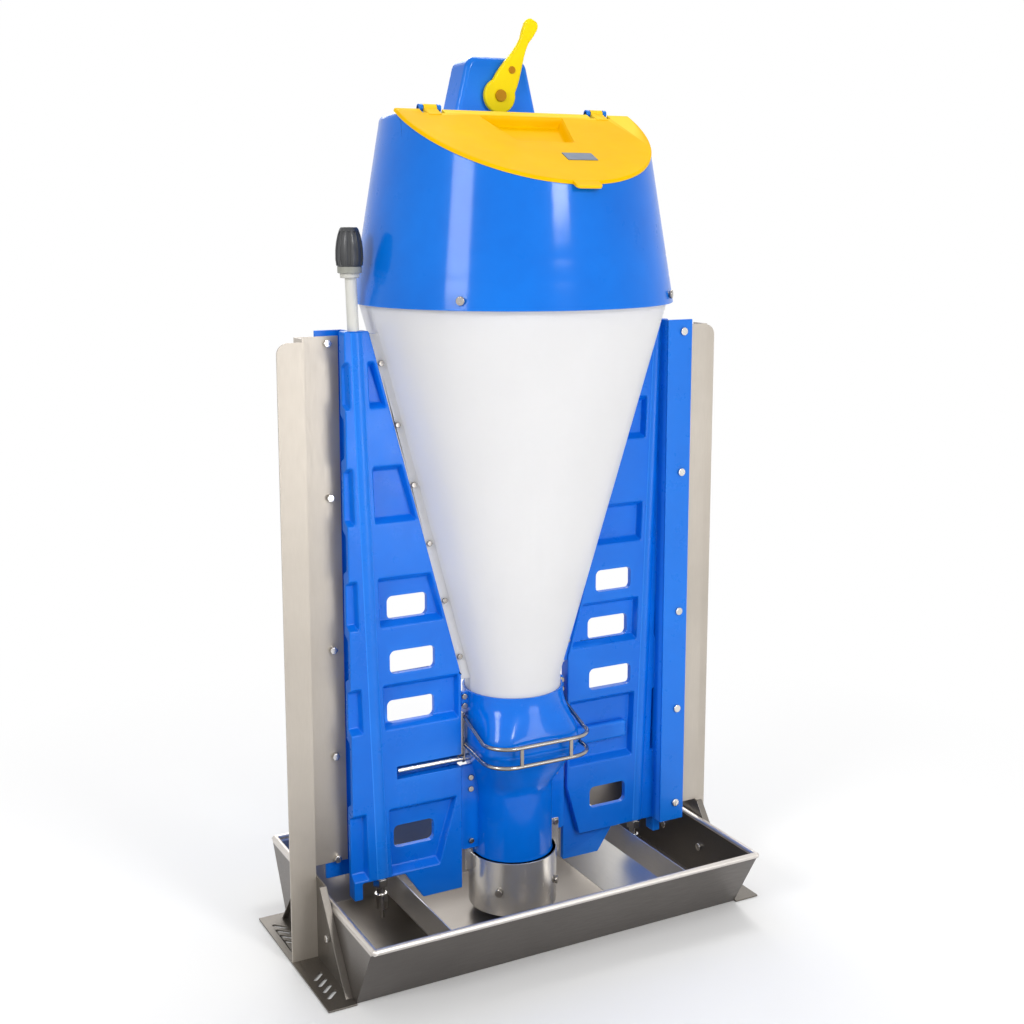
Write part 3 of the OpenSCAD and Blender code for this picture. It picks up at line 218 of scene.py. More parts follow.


# each look's "edge" colour is the painted highlight laid on sharp convex edges
plasticLooks = {
    "blueMoulded": {"dark": (0.0, 0.130, 0.64), "light": (0.0, 0.170, 0.76), "edge": (0.03, 0.27, 0.90),
                    "cloud": 5.0, "scuff": 24.0, "gloss": (0.24, 0.38), "grain": 950.0, "grainDepth": 0.10,
                    "wave": 9.0, "shine": 0.28, "coat": 0.06, "coatGloss": 0.16},
    "blueCover": {"dark": (0.0, 0.135, 0.62), "light": (0.0, 0.175, 0.74), "edge": (0.03, 0.27, 0.90),
                  "cloud": 5.0, "scuff": 24.0, "gloss": (0.26, 0.34), "grain": 950.0, "grainDepth": 0.06,
                  "wave": 9.0, "shine": 0.04, "coat": 0.40, "coatGloss": 0.11},
    "blueHood": {"dark": (0.0, 0.135, 0.66), "light": (0.0, 0.175, 0.78), "edge": (0.04, 0.28, 0.92),
                 "cloud": 6.0, "scuff": 30.0, "gloss": (0.16, 0.28), "grain": 950.0, "grainDepth": 0.06,
                 "wave": 11.0, "shine": 0.14, "coat": 0.35, "coatGloss": 0.08},
    "yellowLid": {"dark": (0.84, 0.46, 0.0), "light": (0.93, 0.54, 0.0), "edge": (1.0, 0.68, 0.05),
                  "cloud": 6.0, "scuff": 26.0, "gloss": (0.28, 0.44), "grain": 900.0, "grainDepth": 0.10,
                  "wave": 10.0, "shine": 0.02, "coat": 0.0, "coatGloss": 0.16},
    "yellowLever": {"dark": (0.90, 0.66, 0.0), "light": (0.96, 0.76, 0.0), "edge": (1.0, 0.85, 0.08),
                    "cloud": 9.0, "scuff": 34.0, "gloss": (0.26, 0.40), "grain": 900.0, "grainDepth": 0.08,
                    "wave": 14.0, "shine": 0.12, "coat": 0.10, "coatGloss": 0.16},
    # painted shade: the screws' own orange is darkened all over to stand for the shade inside their sockets
    "orangeScrew": {"dark": (0.42, 0.17, 0.0), "light": (0.52, 0.23, 0.0), "edge": (0.95, 0.55, 0.02),
                    "cloud": 14.0, "scuff": 50.0, "gloss": (0.30, 0.46), "grain": 900.0, "grainDepth": 0.08,
                    "wave": 20.0, "shine": 0.14, "coat": 0.06, "coatGloss": 0.16},
    "blackCoupling": {"dark": (0.018, 0.019, 0.021), "light": (0.04, 0.042, 0.045),
                      "edge": (0.12, 0.12, 0.12), "cloud": 20.0, "scuff": 60.0, "gloss": (0.38, 0.55),
                      "grain": 900.0, "grainDepth": 0.15, "wave": 20.0, "shine": 0.5,
                      "coat": 0.3, "coatGloss": 0.2},
    "creamPipe": {"dark": (0.46, 0.45, 0.40), "light": (0.56, 0.55, 0.50), "edge": (0.66, 0.65, 0.60),
                  "cloud": 14.0, "scuff": 40.0, "gloss": (0.34, 0.5), "grain": 900.0, "grainDepth": 0.08,
                  "wave": 12.0, "shine": 0.2, "coat": 0.0, "coatGloss": 0.2},
    "greyCollar": {"dark": (0.20, 0.20, 0.17), "light": (0.28, 0.28, 0.24), "edge": (0.40, 0.40, 0.36),
                   "cloud": 20.0, "scuff": 60.0, "gloss": (0.30, 0.46), "grain": 900.0, "grainDepth": 0.08,
                   "wave": 20.0, "shine": 0.3, "coat": 0.0, "coatGloss": 0.2},
}
steelLooks = {
    "frameSteel": {"dark": (0.45, 0.405, 0.35), "light": (0.55, 0.50, 0.435), "stain": 3.2,
                   "brush": (6, 6, 0.6), "lines": 0.35, "gloss": (0.30, 0.46),
                   "brushDepth": 0.12, "metal": 0.45},
    "footSteel": {"dark": (0.15, 0.135, 0.12), "light": (0.24, 0.22, 0.195), "stain": 3.2,
                  "brush": (6, 6, 0.6), "lines": 0.35, "gloss": (0.30, 0.46),
                  "brushDepth": 0.12, "metal": 0.8},
    "dividerSteel": {"dark": (0.58, 0.56, 0.53), "light": (0.78, 0.76, 0.73), "stain": 4.0,
                     "brush": (6, 0.6, 6), "lines": 0.2, "gloss": (0.28, 0.38),
                     "brushDepth": 0.03, "metal": 0.9},
    # troughSteel carries painted light: its up-facing colour is painted light from above, and "rim" is a
    # painted highlight along the rim
    "troughSteel": {"dark": (0.11, 0.10, 0.093), "light": (0.18, 0.166, 0.155), "inner": (0.27, 0.245, 0.22),
                    "rim": (0.66, 0.62, 0.58), "stain": 3.0, "brush": (0.6, 6, 6), "lines": 0.4,
                    "gloss": (0.26, 0.42), "brushDepth": 0.12, "metal": 0.85},
    "brightSteel": {"dark": (0.62, 0.60, 0.57), "light": (0.80, 0.78, 0.75), "stain": 9.0, "brush": (4, 4, 4),
                    "lines": 0.25, "gloss": (0.14, 0.28), "brushDepth": 0.06},
    "wireSteel": {"dark": (0.30, 0.28, 0.26), "light": (0.46, 0.43, 0.40), "stain": 9.0, "brush": (4, 4, 4),
                  "lines": 0.25, "gloss": (0.16, 0.30), "brushDepth": 0.06},
    "tubeSteel": {"dark": (0.60, 0.57, 0.53), "light": (0.80, 0.77, 0.72), "stain": 6.0, "brush": (9, 9, 0.5),
                  "lines": 0.35, "gloss": (0.16, 0.30), "brushDepth": 0.10, "metal": 0.75},
    "barePlate": {"dark": (0.08, 0.11, 0.16), "light": (0.13, 0.17, 0.24), "stain": 20.0,
                  "brush": (1, 20, 20), "lines": 0.3, "gloss": (0.46, 0.6), "brushDepth": 0.08, "metal": 0.2},
}
milkyLook = {"dark": (0.93, 0.925, 0.925), "light": (0.965, 0.96, 0.96),
             "gloss": (0.28, 0.42), "through": 0.36}
finishes = {name: mouldedPlastic(name, look) for name, look in plasticLooks.items()}
finishes.update({name: sheetSteel(name, look) for name, look in steelLooks.items()})
finishes["milkyHopper"] = milkyPlastic("milkyHopper", milkyLook)
print("finishes made:", len(finishes))

nodeFinishes = {
    "troughSteel": ["trough", "divider_left", "divider_right"],
    "frameSteel": ["post_left", "post_right"],
    "footSteel": ["end_frame_left", "end_frame_right"],
    "blueMoulded": ["panel_left", "panel_right", "dosing_cone"],
    "blueCover": ["cover", "lever_housing"],
    "blueHood": ["hood_front", "hood_rear"],
    "milkyHopper": ["hopper_front", "hopper_rear"],
    "yellowLid": ["lid"],
    "yellowLever": ["lever"],
    "orangeScrew": ["lever_screws"],
    "barePlate": ["lid_plate"],
    "creamPipe": ["water_pipe_left", "water_pipe_right"],
    "blackCoupling": ["inlet_coupling_left", "inlet_socket_right"],
    "tubeSteel": ["feed_tube"],
    "wireSteel": ["bow_front", "bow_rear", "bow_arms"],
    "brightSteel": ["nipple_left", "nipple_right", "nipple_pin_left", "nipple_pin_right", "hinge_pins",
                    "lever_shaft", "dosing_rod", "rod_guide", "rocking_axle", "agitator", "post_bolts",
                    "hopper_bolts", "cover_bolts", "trough_bolts", "hood_bolts", "tube_bolts"],
}
for finish, names in nodeFinishes.items():
    for name in names:
        mesh = nodes[name].data
        mesh.materials.clear()
        mesh.materials.append(finishes[finish])
print("finishes on the frame's nodes")


# modelling helpers


def clearSelection():
    if bpy.context.object and bpy.context.object.mode != "OBJECT":
        bpy.ops.object.mode_set(mode="OBJECT")
    bpy.ops.object.select_all(action="DESELECT")


def pickOnly(obj):
    clearSelection()
    obj.select_set(True)
    bpy.context.view_layer.objects.active = obj


def editMesh(obj):
    pickOnly(obj)
    bpy.ops.object.mode_set(mode="EDIT")
    bpy.ops.mesh.select_all(action="SELECT")


def leaveEdit():
    bpy.ops.object.mode_set(mode="OBJECT")


def roundEdges(obj, width, segments=3, angle=32, clamp=False):
    pickOnly(obj)
    mod = obj.modifiers.new("roundEdges", "BEVEL")
    mod.width = width
    mod.segments = segments
    mod.limit_method = "ANGLE"
    mod.angle_limit = math.radians(angle)
    mod.use_clamp_overlap = clamp
    mod.miter_outer = "MITER_ARC"
    bpy.ops.object.modifier_apply(modifier=mod.name)


def smoothLook(obj, angle=35):
    pickOnly(obj)
    bpy.ops.object.shade_smooth_by_angle(angle=math.radians(angle))
    flatten = obj.modifiers.new("flatFaces", "WEIGHTED_NORMAL")
    flatten.keep_sharp = True
    bpy.ops.object.modifier_apply(modifier=flatten.name)


def giveWall(obj, thickness, offset=-1):
    pickOnly(obj)
    skin = obj.modifiers.new("wall", "SOLIDIFY")
    skin.thickness = thickness
    skin.offset = offset
    bpy.ops.object.modifier_apply(modifier=skin.name)


def nodeCopy(node, name, flat=0.6):
    obj = bpy.data.objects.new(name, nodes[node].data.copy())
    scene.collection.objects.link(obj)
    pickOnly(obj)
    bpy.ops.mesh.customdata_custom_splitnormals_clear()
    editMesh(obj)
    bpy.ops.mesh.remove_doubles(threshold=0.00003)
    bpy.ops.mesh.dissolve_limited(angle_limit=math.radians(flat))
    leaveEdit()
    return obj


def standIn(obj, node, finish):
    obj.data.materials.clear()
    obj.data.materials.append(finishes[finish])
    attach(obj, nodes[node]["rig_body"])
    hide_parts(node)
    return obj


def extraPiece(obj, node, finish):
    obj.data.materials.clear()
    obj.data.materials.append(finishes[finish])
    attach(obj, nodes[node]["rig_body"])
    return obj


def sliceMesh(point, normal, clearOuter=False, only=None):
    if only is None:
        bpy.ops.mesh.select_all(action="SELECT")
    else:
        pickFaces(only)
    bpy.ops.mesh.bisect(plane_co=point, plane_no=normal, clear_outer=clearOuter)


def pickFaces(test):
    obj = bpy.context.edit_object
    bpy.ops.mesh.select_all(action="DESELECT")
    bpy.ops.mesh.select_mode(type="FACE")
    bpy.ops.object.mode_set(mode="OBJECT")
    for face in obj.data.polygons:
        face.select = bool(test(face.center, face.normal))
    bpy.ops.object.mode_set(mode="EDIT")


def settle(obj):
    pickOnly(obj)
    bpy.ops.object.transform_apply(location=True, rotation=True, scale=True)


def addBox(low, high, name="box"):
    clearSelection()
    middle = [(a + b) / 2 for a, b in zip(low, high)]
    bpy.ops.mesh.primitive_cube_add(size=1, location=middle)
    obj = bpy.context.object
    obj.name = name
    obj.scale = [b - a for a, b in zip(low, high)]
    settle(obj)
    return obj


def addRod(x, y, z, radius, length, axis="X"):
    clearSelection()
    turn = (0, math.radians(90), 0) if axis == "X" else (math.radians(90), 0, 0)
    bpy.ops.mesh.primitive_cylinder_add(vertices=32, radius=radius, depth=length,
                                        location=(x, y, z), rotation=turn)
    obj = bpy.context.object
    settle(obj)
    return obj


def addPrism(outline, y0, y1, name="prism"):
    clearSelection()
    bpy.ops.mesh.primitive_circle_add(vertices=len(outline), radius=0.1, fill_type="NGON")
    obj = bpy.context.object
    obj.name = name
    for vert, (x, z) in zip(obj.data.vertices, outline):
        vert.co = (x, y0, z)
    editMesh(obj)
    bpy.ops.mesh.extrude_region_move(TRANSFORM_OT_translate={"value": (0, y1 - y0, 0)})
    bpy.ops.mesh.select_all(action="SELECT")
    bpy.ops.mesh.normals_make_consistent(inside=False)
    leaveEdit()
    return obj


def pickEdges(test):
    obj = bpy.context.edit_object
    bpy.ops.mesh.select_all(action="DESELECT")
    bpy.ops.mesh.select_mode(type="EDGE")
    bpy.ops.object.mode_set(mode="OBJECT")
    points = obj.data.vertices
    for edge in obj.data.edges:
        a, b = (points[i].co for i in edge.vertices)
        edge.select = bool(test(a, b))
    bpy.ops.object.mode_set(mode="EDIT")


def alongAxis(axis):
    others = [i for i in range(3) if i != axis]
    return lambda a, b: all(abs(a[i] - b[i]) < 1e-6 for i in others)


def cutWith(obj, tool, action="DIFFERENCE"):
    pickOnly(obj)
    mod = obj.modifiers.new("cut", "BOOLEAN")
    mod.operation = action
    mod.solver = "EXACT"
    mod.object = tool
    bpy.ops.object.modifier_apply(modifier=mod.name)
    bpy.data.objects.remove(tool)


def latheSkin(profile, around, name):
    clearSelection()
    bpy.ops.mesh.primitive_circle_add(vertices=around, radius=profile[0][0], location=(0, 0, profile[0][1]))
    obj = bpy.context.object
    obj.name = name
    settle(obj)
    editMesh(obj)
    bpy.ops.mesh.select_mode(type="EDGE")
    bpy.ops.mesh.select_all(action="SELECT")
    for (r0, z0), (r1, z1) in zip(profile, profile[1:]):
        bpy.ops.mesh.extrude_region_move(TRANSFORM_OT_translate={"value": (0, 0, z1 - z0)})
        bpy.ops.transform.resize(value=(r1 / r0, r1 / r0, 1), center_override=(0, 0, z1))
    return obj


def halfTurn(obj, name):
    twin = bpy.data.objects.new(name, obj.data.copy())
    scene.collection.objects.link(twin)
    editMesh(twin)
    bpy.ops.transform.rotate(value=math.pi, orient_axis="Z", center_override=(0, 0, 0))
    leaveEdit()
    return twin


# side panels: a board cut into bands, drawn in by turns from the front and from the rear

board = {"innerX": 0.102, "outerX": 0.297, "spareX": 0.312, "lowZ": 0.114, "topZ": 1.014, "half": 0.012,
         "pocket": 0.014, "kinkZ": 0.441, "topInnerX": 0.2563, "skirtZ": 0.066, "skirtX": 0.174,
         "skirtReachX": 0.2064, "tongueX": 0.282, "tongueZ": 0.086,
         "pipeX": 0.247, "pipeZ": 0.112, "pipeLean": 0.03373, "pipeClear": 0.009,
         "ribIn": 0.0125, "ribOutX": 0.266, "ribOutLean": 0.02306, "ridgeR": 0.0155, "ridgeEnd": 0.002,
         "bandShares": [0.958, 0.876, 0.795, 0.695, 0.617, 0.528, 0.442, 0.358, 0.233, 0.1124],
         "rim": 0.0045, "draft": 0.003, "slope": 0.0065, "round": 0.0022,
         "creaseZ": 0.2052, "creaseX": 0.1279, "creaseEndX": 0.2784, "creaseRoom": 0.012,
         "cornerX": 0.09, "cornerY": -0.05, "cornerZ": 0.05}
fittings = {"stripX": (0.279, 0.328), "stripY": (-0.039, -0.034),
            "webX": (0.2795, 0.2835), "webY": (-0.037, -0.0035),
            "webDeepX": (0.2803, 0.2827), "webDeepY": (-0.030, 0.007), "lipY": (-0.008, -0.004),
            "lipOutline": [(0.0824, 0.435), (0.107, 0.435), (0.26, 1.009), (0.237, 1.009)],
            "channelX": (0.104, 0.224), "channelY": (-0.0105, 0.011), "channelZ": (0.276, 0.308),
            "channelRound": 0.006,
            "grooveX": (0.09, 0.219), "grooveY": (-0.006, 0.03), "grooveZ": (0.281, 0.303),
            "windowEdge": 0.003, "windowRound": 0.009, "round": 0.0012, "cutRound": 0.001}


def bandEdges(look):
    return [share * look["topZ"] for share in look["bandShares"]]


def sidePanel(look):
    clearSelection()
    wide = look["spareX"] - look["innerX"]
    tall = look["topZ"] - look["skirtZ"]
    bpy.ops.mesh.primitive_plane_add(size=1, rotation=(math.radians(90), 0, 0),
                                     location=(look["innerX"] + wide / 2, 0, look["skirtZ"] + tall / 2))
    obj = bpy.context.object
    obj.name = "panelRight"
    obj.scale = (wide, tall, 1)
    settle(obj)
    editMesh(obj)
    riseX = look["topInnerX"] - look["innerX"]
    riseZ = look["topZ"] - look["kinkZ"]
    sliceMesh((look["innerX"], 0, look["kinkZ"]), (-riseZ, 0, riseX), True)  # edge along the hopper's cone
    low = look["lowZ"]
    sliceMesh((0, 0, low), (0, 0, 1))
    for cutX in (look["tongueX"], look["skirtReachX"]):
        sliceMesh((cutX, 0, 0), (1, 0, 0), False, lambda c, n: c.z < low)
    pickFaces(lambda c, n: c.z < low and look["skirtReachX"] < c.x < look["tongueX"])
    bpy.ops.mesh.delete(type="FACE")
    reach = look["skirtReachX"] - look["skirtX"]
    sliceMesh((look["skirtX"], 0, look["skirtZ"]), (low - look["skirtZ"], 0, -reach), True,
              lambda c, n: c.z < low and c.x < look["skirtReachX"])
    sliceMesh((0, 0, look["tongueZ"]), (0, 0, -1), True, lambda c, n: c.z < low and c.x > look["tongueX"])
    ribSides = ((look["pipeX"] - look["ribIn"], look["pipeLean"]), (look["ribOutX"], look["ribOutLean"]))
    for ribX, lean in ribSides:
        sliceMesh((ribX, 0, look["pipeZ"]), (1, 0, -lean), False, lambda c, n: c.z > low)
    edges = bandEdges(look)
    for edge in edges[:-1]:
        sliceMesh((0, 0, edge), (0, 0, 1))
    leaveEdit()
    giveWall(obj, 2 * look["half"], 0)
    editMesh(obj)
    bpy.ops.mesh.normals_make_consistent(inside=False)
    slope = (look["creaseZ"] - low, 0, look["creaseX"] - look["innerX"])
    aside = (look["innerX"] + look["creaseRoom"], 0, look["creaseZ"])
    sliceMesh(aside, slope, False, lambda c, n: n.y > 0.9 and low < c.z < edges[-2] and c.x < look["pipeX"])

    def isCell(c, n, band, beyond):
        side = 1 if band % 2 == 0 else -1
        pipe = look["pipeX"] + look["pipeLean"] * (c.z - look["pipeZ"])
        across = c.x > pipe + look["pipeClear"] if beyond else c.x < pipe - look["pipeClear"]
        cornered = c.z < edges[-2] and side > 0 and (c - Vector(aside)).dot(Vector(slope)) < 0
        return n.y * side > 0.9 and edges[band + 1] < c.z < edges[band] and across and not cornered

    for band in range(len(edges) - 1):
        middle = (edges[band] + edges[band + 1]) / 2
        shrink = 1 - 2 * look["slope"] / (edges[band] - edges[band + 1])
        for beyond in (False, True):
            pickFaces(lambda c, n: isCell(c, n, band, beyond))
            bpy.ops.mesh.inset(thickness=look["rim"], use_individual=True)
            bpy.ops.mesh.inset(thickness=look["draft"], depth=-look["pocket"], use_individual=True)
            bpy.ops.transform.resize(value=(1, 1, shrink), center_override=(0, 0, middle))
    bpy.ops.mesh.select_all(action="SELECT")
    bpy.ops.mesh.bisect(plane_co=(look["outerX"], 0, 0), plane_no=(1, 0, 0), clear_outer=True, use_fill=True)
    leaveEdit()
    return obj


def pipeRidge(look):
    low, high = look["lowZ"] + look["ridgeEnd"], look["topZ"] - look["ridgeEnd"]
    middle = (low + high) / 2
    lean = math.atan(look["pipeLean"])
    x = look["pipeX"] + look["pipeLean"] * (middle - look["pipeZ"])
    clearSelection()
    bpy.ops.mesh.primitive_cylinder_add(vertices=48, radius=look["ridgeR"],
                                        depth=(high - low) / math.cos(lean),
                                        location=(x, 0, middle), rotation=(0, lean, 0))
    obj = bpy.context.object
    settle(obj)
    return obj


def panelFittings(obj, look, fit):
    ridge = pipeRidge(look)
    roundEdges(ridge, fit["round"], 2, 60)
    cutWith(obj, ridge, "UNION")
    edges = bandEdges(look)
    height = (look["lowZ"], look["topZ"])
    blocks = [(fit["stripX"], fit["stripY"], height, fit["round"]),
              (fit["webX"], fit["webY"], height, fit["round"]),
              (fit["channelX"], fit["channelY"], fit["channelZ"], fit["channelRound"])]
    for band in range(1, len(edges) - 1, 2):
        blocks.append((fit["webDeepX"], fit["webDeepY"], (edges[band + 1], edges[band]), fit["round"]))
    for alongX, alongY, alongZ, corner in blocks:
        block = addBox(*zip(alongX, alongY, alongZ))
        roundEdges(block, corner, 3)
        cutWith(obj, block, "UNION")
    lip = addPrism(fit["lipOutline"], *fit["lipY"])
    roundEdges(lip, fit["round"], 2)
    cutWith(obj, lip, "UNION")
    cutWith(obj, addBox(*zip(fit["grooveX"], fit["grooveY"], fit["grooveZ"])))
    corner = [(look["cornerX"], look["creaseZ"]), (look["innerX"], look["creaseZ"]),
              (look["creaseX"], look["lowZ"]), (look["creaseEndX"], look["lowZ"]),
              (look["creaseEndX"], look["cornerZ"]), (look["cornerX"], look["cornerZ"])]
    cutWith(obj, addPrism(corner, look["cornerY"], look["pocket"] - look["half"]))
    for row in frame["record"]["physics"]["openings"]:
        if row["name"].startswith("window_right"):
            (x0, y0, z0), (x1, y1, z1) = row["box_m"]
            grow = fit["windowEdge"]
            hole = addBox((x0 - grow, 2 * y0, z0 - grow), (x1 + grow, 2 * y1, z1 + grow))
            editMesh(hole)
            pickEdges(alongAxis(1))
            bpy.ops.mesh.bevel(offset=fit["windowRound"], segments=6)
            leaveEdit()
            cutWith(obj, hole)


panelRight = sidePanel(board)
roundEdges(panelRight, board["round"], 3)
panelFittings(panelRight, board, fittings)
roundEdges(panelRight, fittings["cutRound"], 2, 50)
smoothLook(panelRight)
standIn(panelRight, "panel_right", "blueMoulded")
panelLeft = halfTurn(panelRight, "panelLeft")
smoothLook(panelLeft)
standIn(panelLeft, "panel_left", "blueMoulded")
print("side panels", len(panelRight.data.polygons))


# dosing unit: collar, visor and down tube lofted ring by ring, then split into its two halves

hood = {"collarR": 0.0853, "beltX": 0.088, "beltY": 0.101, "corner": 0.040, "tubeR": 0.068, "lipR": 0.0012,
        "topZ": 0.408, "seatZ": 0.392, "highZ": 0.338, "lowZ": 0.313, "taperZ": 0.239, "endZ": 0.106,
        "soften": 0.010, "wall": 0.004, "around": 128, "lipZ": 0.122, "lipTall": 0.016, "earX": 0.08,
        "round": 0.0007, "collarStep": 0.006, "loftZ": 0.400, "loftStep": 0.0025, "loftRings": 70,
        "tubeRings": [0.2, 0.15, 0.122, 0.118, 0.114, 0.111, 0.109, 0.1075],
        "upperFlange": ((0.083, 0.098), (-0.004, 0.0), (0.379, 0.408)),
        "lowerFlange": ((0.066, 0.0995), (-0.004, 0.0), (0.130, 0.278)),
        "flangeRound": 0.005}


def beltReach(angle, look):
    c, s = abs(math.cos(angle)), abs(math.sin(angle))
    flat = min(look["beltX"] / max(c, 1e-6), look["beltY"] / max(s, 1e-6))
    mx, my = look["beltX"] - look["corner"], look["beltY"] - look["corner"]
    if flat * c <= mx or flat * s <= my:
        return flat
    along = c * mx + s * my
    return along + math.sqrt(along * along - mx * mx - my * my + look["corner"] ** 2)


def visorShare(z, look):
    if z >= look["highZ"]:
        return max(0.0, min(1.0, (look["seatZ"] - z) / (look["seatZ"] - look["highZ"])))
    if z >= look["lowZ"]:
        return 1.0
    return max(0.0, min(1.0, (z - look["taperZ"]) / (look["lowZ"] - look["taperZ"])))


def softShare(z, look, steps=8):
    spread = [look["soften"] * (2 * i / steps - 1) for i in range(steps + 1)]
    return sum(visorShare(z + step, look) for step in spread) / len(spread)


def hoodHalf(look):
    clearSelection()
    bpy.ops.mesh.primitive_circle_add(vertices=look["around"], radius=look["collarR"],
                                      location=(0, 0, look["topZ"]))
    obj = bpy.context.object
    obj.name = "hoodFront"
    settle(obj)
    levels = [look["topZ"], look["topZ"] - look["collarStep"]]
    levels += [look["loftZ"] - look["loftStep"] * i for i in range(look["loftRings"])]
    levels += look["tubeRings"] + [look["endZ"]]
    editMesh(obj)
    bpy.ops.mesh.select_mode(type="EDGE")
    bpy.ops.mesh.select_all(action="SELECT")
    for above, below in zip(levels, levels[1:]):
        bpy.ops.mesh.extrude_region_move(TRANSFORM_OT_translate={"value": (0, 0, below - above)})
    leaveEdit()
    for vert in obj.data.vertices:
        angle = math.atan2(vert.co.y, vert.co.x)
        z = vert.co.z
        plainR = look["collarR"] if z > look["lowZ"] else look["tubeR"]
        share = softShare(z, look)
        reach = (1 - share) * plainR + share * beltReach(angle, look)
        if z < look["lipZ"]:  # rounded lip at the tube's end
            reach += look["lipR"] * math.sin((look["lipZ"] - z) / look["lipTall"] * math.pi)
        vert.co.x = reach * math.cos(angle)
        vert.co.y = reach * math.sin(angle)
    editMesh(obj)
    bpy.ops.mesh.normals_make_consistent(inside=False)
    sliceMesh((0, 0, 0), (0, 1, 0), True)
    leaveEdit()
    giveWall(obj, look["wall"])
    for key in ("upperFlange", "lowerFlange"):
        for side in (-1, 1):
            alongX, alongY, alongZ = look[key]
            alongX = sorted(side * x for x in alongX)
            ear = addBox(*zip(alongX, alongY, alongZ))
            editMesh(ear)
            pickEdges(lambda a, b: alongAxis(1)(a, b) and side * a.x > look["earX"])
            bpy.ops.mesh.bevel(offset=look["flangeRound"], segments=4)
            leaveEdit()
            cutWith(obj, ear, "UNION")
    roundEdges(obj, look["round"], 2, 50)
    smoothLook(obj, 40)
    return obj


hoodFront = hoodHalf(hood)
hoodRear = halfTurn(hoodFront, "hoodRear")
smoothLook(hoodRear, 40)
standIn(hoodFront, "hood_front", "blueHood")
standIn(hoodRear, "hood_rear", "blueHood")
print("dosing unit", len(hoodFront.data.polygons))


# lever housing: a drawn cap with soft edges

cap = {"y": (0.052, 0.112), "lowZ": 1.345, "topZ": 1.440, "lowHalf": 0.075, "topHalf": 0.052,
       "corner": 0.017, "cornerUp": 0.01, "edge": 0.009, "wall": 0.004}


def housingCap(look):
    outline = [(-look["lowHalf"], look["lowZ"]), (look["lowHalf"], look["lowZ"]),
               (look["topHalf"], look["topZ"]), (-look["topHalf"], look["topZ"])]
    obj = addPrism(outline, *look["y"], name="leverHousing")
    editMesh(obj)
    pickEdges(lambda a, b: alongAxis(1)(a, b) and a.z > look["lowZ"] + look["cornerUp"])
    bpy.ops.mesh.bevel(offset=look["corner"], segments=8)
    pickEdges(lambda a, b: any(abs(a.y - y) < 1e-6 and abs(b.y - y) < 1e-6 for y in look["y"])
              and max(a.z, b.z) > look["lowZ"] + 1e-6)
    bpy.ops.mesh.bevel(offset=look["edge"], segments=5)
    pickFaces(lambda c, n: n.z < -0.9)
    bpy.ops.mesh.delete(type="FACE")
    leaveEdit()
    giveWall(obj, look["wall"])
    smoothLook(obj, 40)
    return obj


standIn(housingCap(cap), "lever_housing", "blueCover")
print("lever housing")


# inlet coupling on the left pipe: a ribbed nut, with a ring and a pipe collar below it

nut = {"pipe": "inlet_coupling_left", "ribs": 12, "wall": 0.003, "round": 0.0005,
       "profile": [(0.0, 0.0135), (0.0, 0.0165), (0.007, 0.0172), (0.010, 0.0185), (0.012, 0.0205),
                   (0.021, 0.0216), (0.034, 0.0214), (0.046, 0.0200), (0.056, 0.0178), (0.062, 0.0158),
                   (0.066, 0.0140), (0.068, 0.0122), (0.068, 0.0095)],
       "ribFrom": 4, "ribTo": 9, "ribOut": 0.0016}


def couplingNut(look):
    low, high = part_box(look["pipe"])
    midX, midY = (low[0] + high[0]) / 2, (low[1] + high[1]) / 2
    lowZ = low[2]
    rise = (high[2] - low[2]) / look["profile"][-1][0]
    clearSelection()
    first = look["profile"][0]
    bpy.ops.mesh.primitive_circle_add(vertices=look["ribs"] * 6, radius=first[1], location=(midX, midY, lowZ))
    obj = bpy.context.object
    obj.name = "inletCoupling"
    settle(obj)
    editMesh(obj)
    bpy.ops.mesh.select_mode(type="EDGE")
    bpy.ops.mesh.select_all(action="SELECT")
    for (z0, r0), (z1, r1) in zip(look["profile"], look["profile"][1:]):
        bpy.ops.mesh.extrude_region_move(TRANSFORM_OT_translate={"value": (0, 0, (z1 - z0) * rise)})
        bpy.ops.transform.resize(value=(r1 / r0, r1 / r0, 1), center_override=(midX, midY, lowZ + z1 * rise))
    bpy.ops.mesh.select_all(action="SELECT")
    bpy.ops.mesh.normals_make_consistent(inside=False)
    z0, z1 = (lowZ + look["profile"][i][0] * rise for i in (look["ribFrom"], look["ribTo"]))
    pitch = 2 * math.pi / look["ribs"]

    def onRib(c, n):
        turn = math.atan2(c.y - midY, c.x - midX) % pitch
        return z0 < c.z < z1 and turn < pitch / 2

    pickFaces(onRib)
    bpy.ops.mesh.extrude_region_shrink_fatten(TRANSFORM_OT_shrink_fatten={"value": -look["ribOut"]})
    leaveEdit()
    giveWall(obj, look["wall"])
    roundEdges(obj, look["round"], 2, 50)
    smoothLook(obj, 45)
    return obj


rings = {"couplingRing": ("inlet_coupling_left", "greyCollar", 0.0,
                          [(0.0140, 0.0), (0.0178, 0.0), (0.0186, 0.0008), (0.0188, 0.0092), (0.0180, 0.0104),
                           (0.0140, 0.0104)]),
         "pipeCollar": ("water_pipe_left", "creamPipe", -0.0075,
                        [(0.0095, 0.0), (0.0136, 0.0), (0.0148, 0.0012), (0.0150, 0.0066), (0.0142, 0.0080),
                         (0.0095, 0.0080)])}


def couplingRing(name, drop, profile):
    low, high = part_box(nut["pipe"])
    midX, midY = (low[0] + high[0]) / 2, (low[1] + high[1]) / 2
    obj = latheSkin([(r, z + low[2] + drop) for r, z in profile + profile[:1]], 64, name)
    bpy.ops.mesh.select_all(action="SELECT")
    bpy.ops.transform.translate(value=(midX, midY, 0))
    bpy.ops.mesh.remove_doubles(threshold=0.00003)
    bpy.ops.mesh.normals_make_consistent(inside=False)
    leaveEdit()
    smoothLook(obj, 40)
    return obj


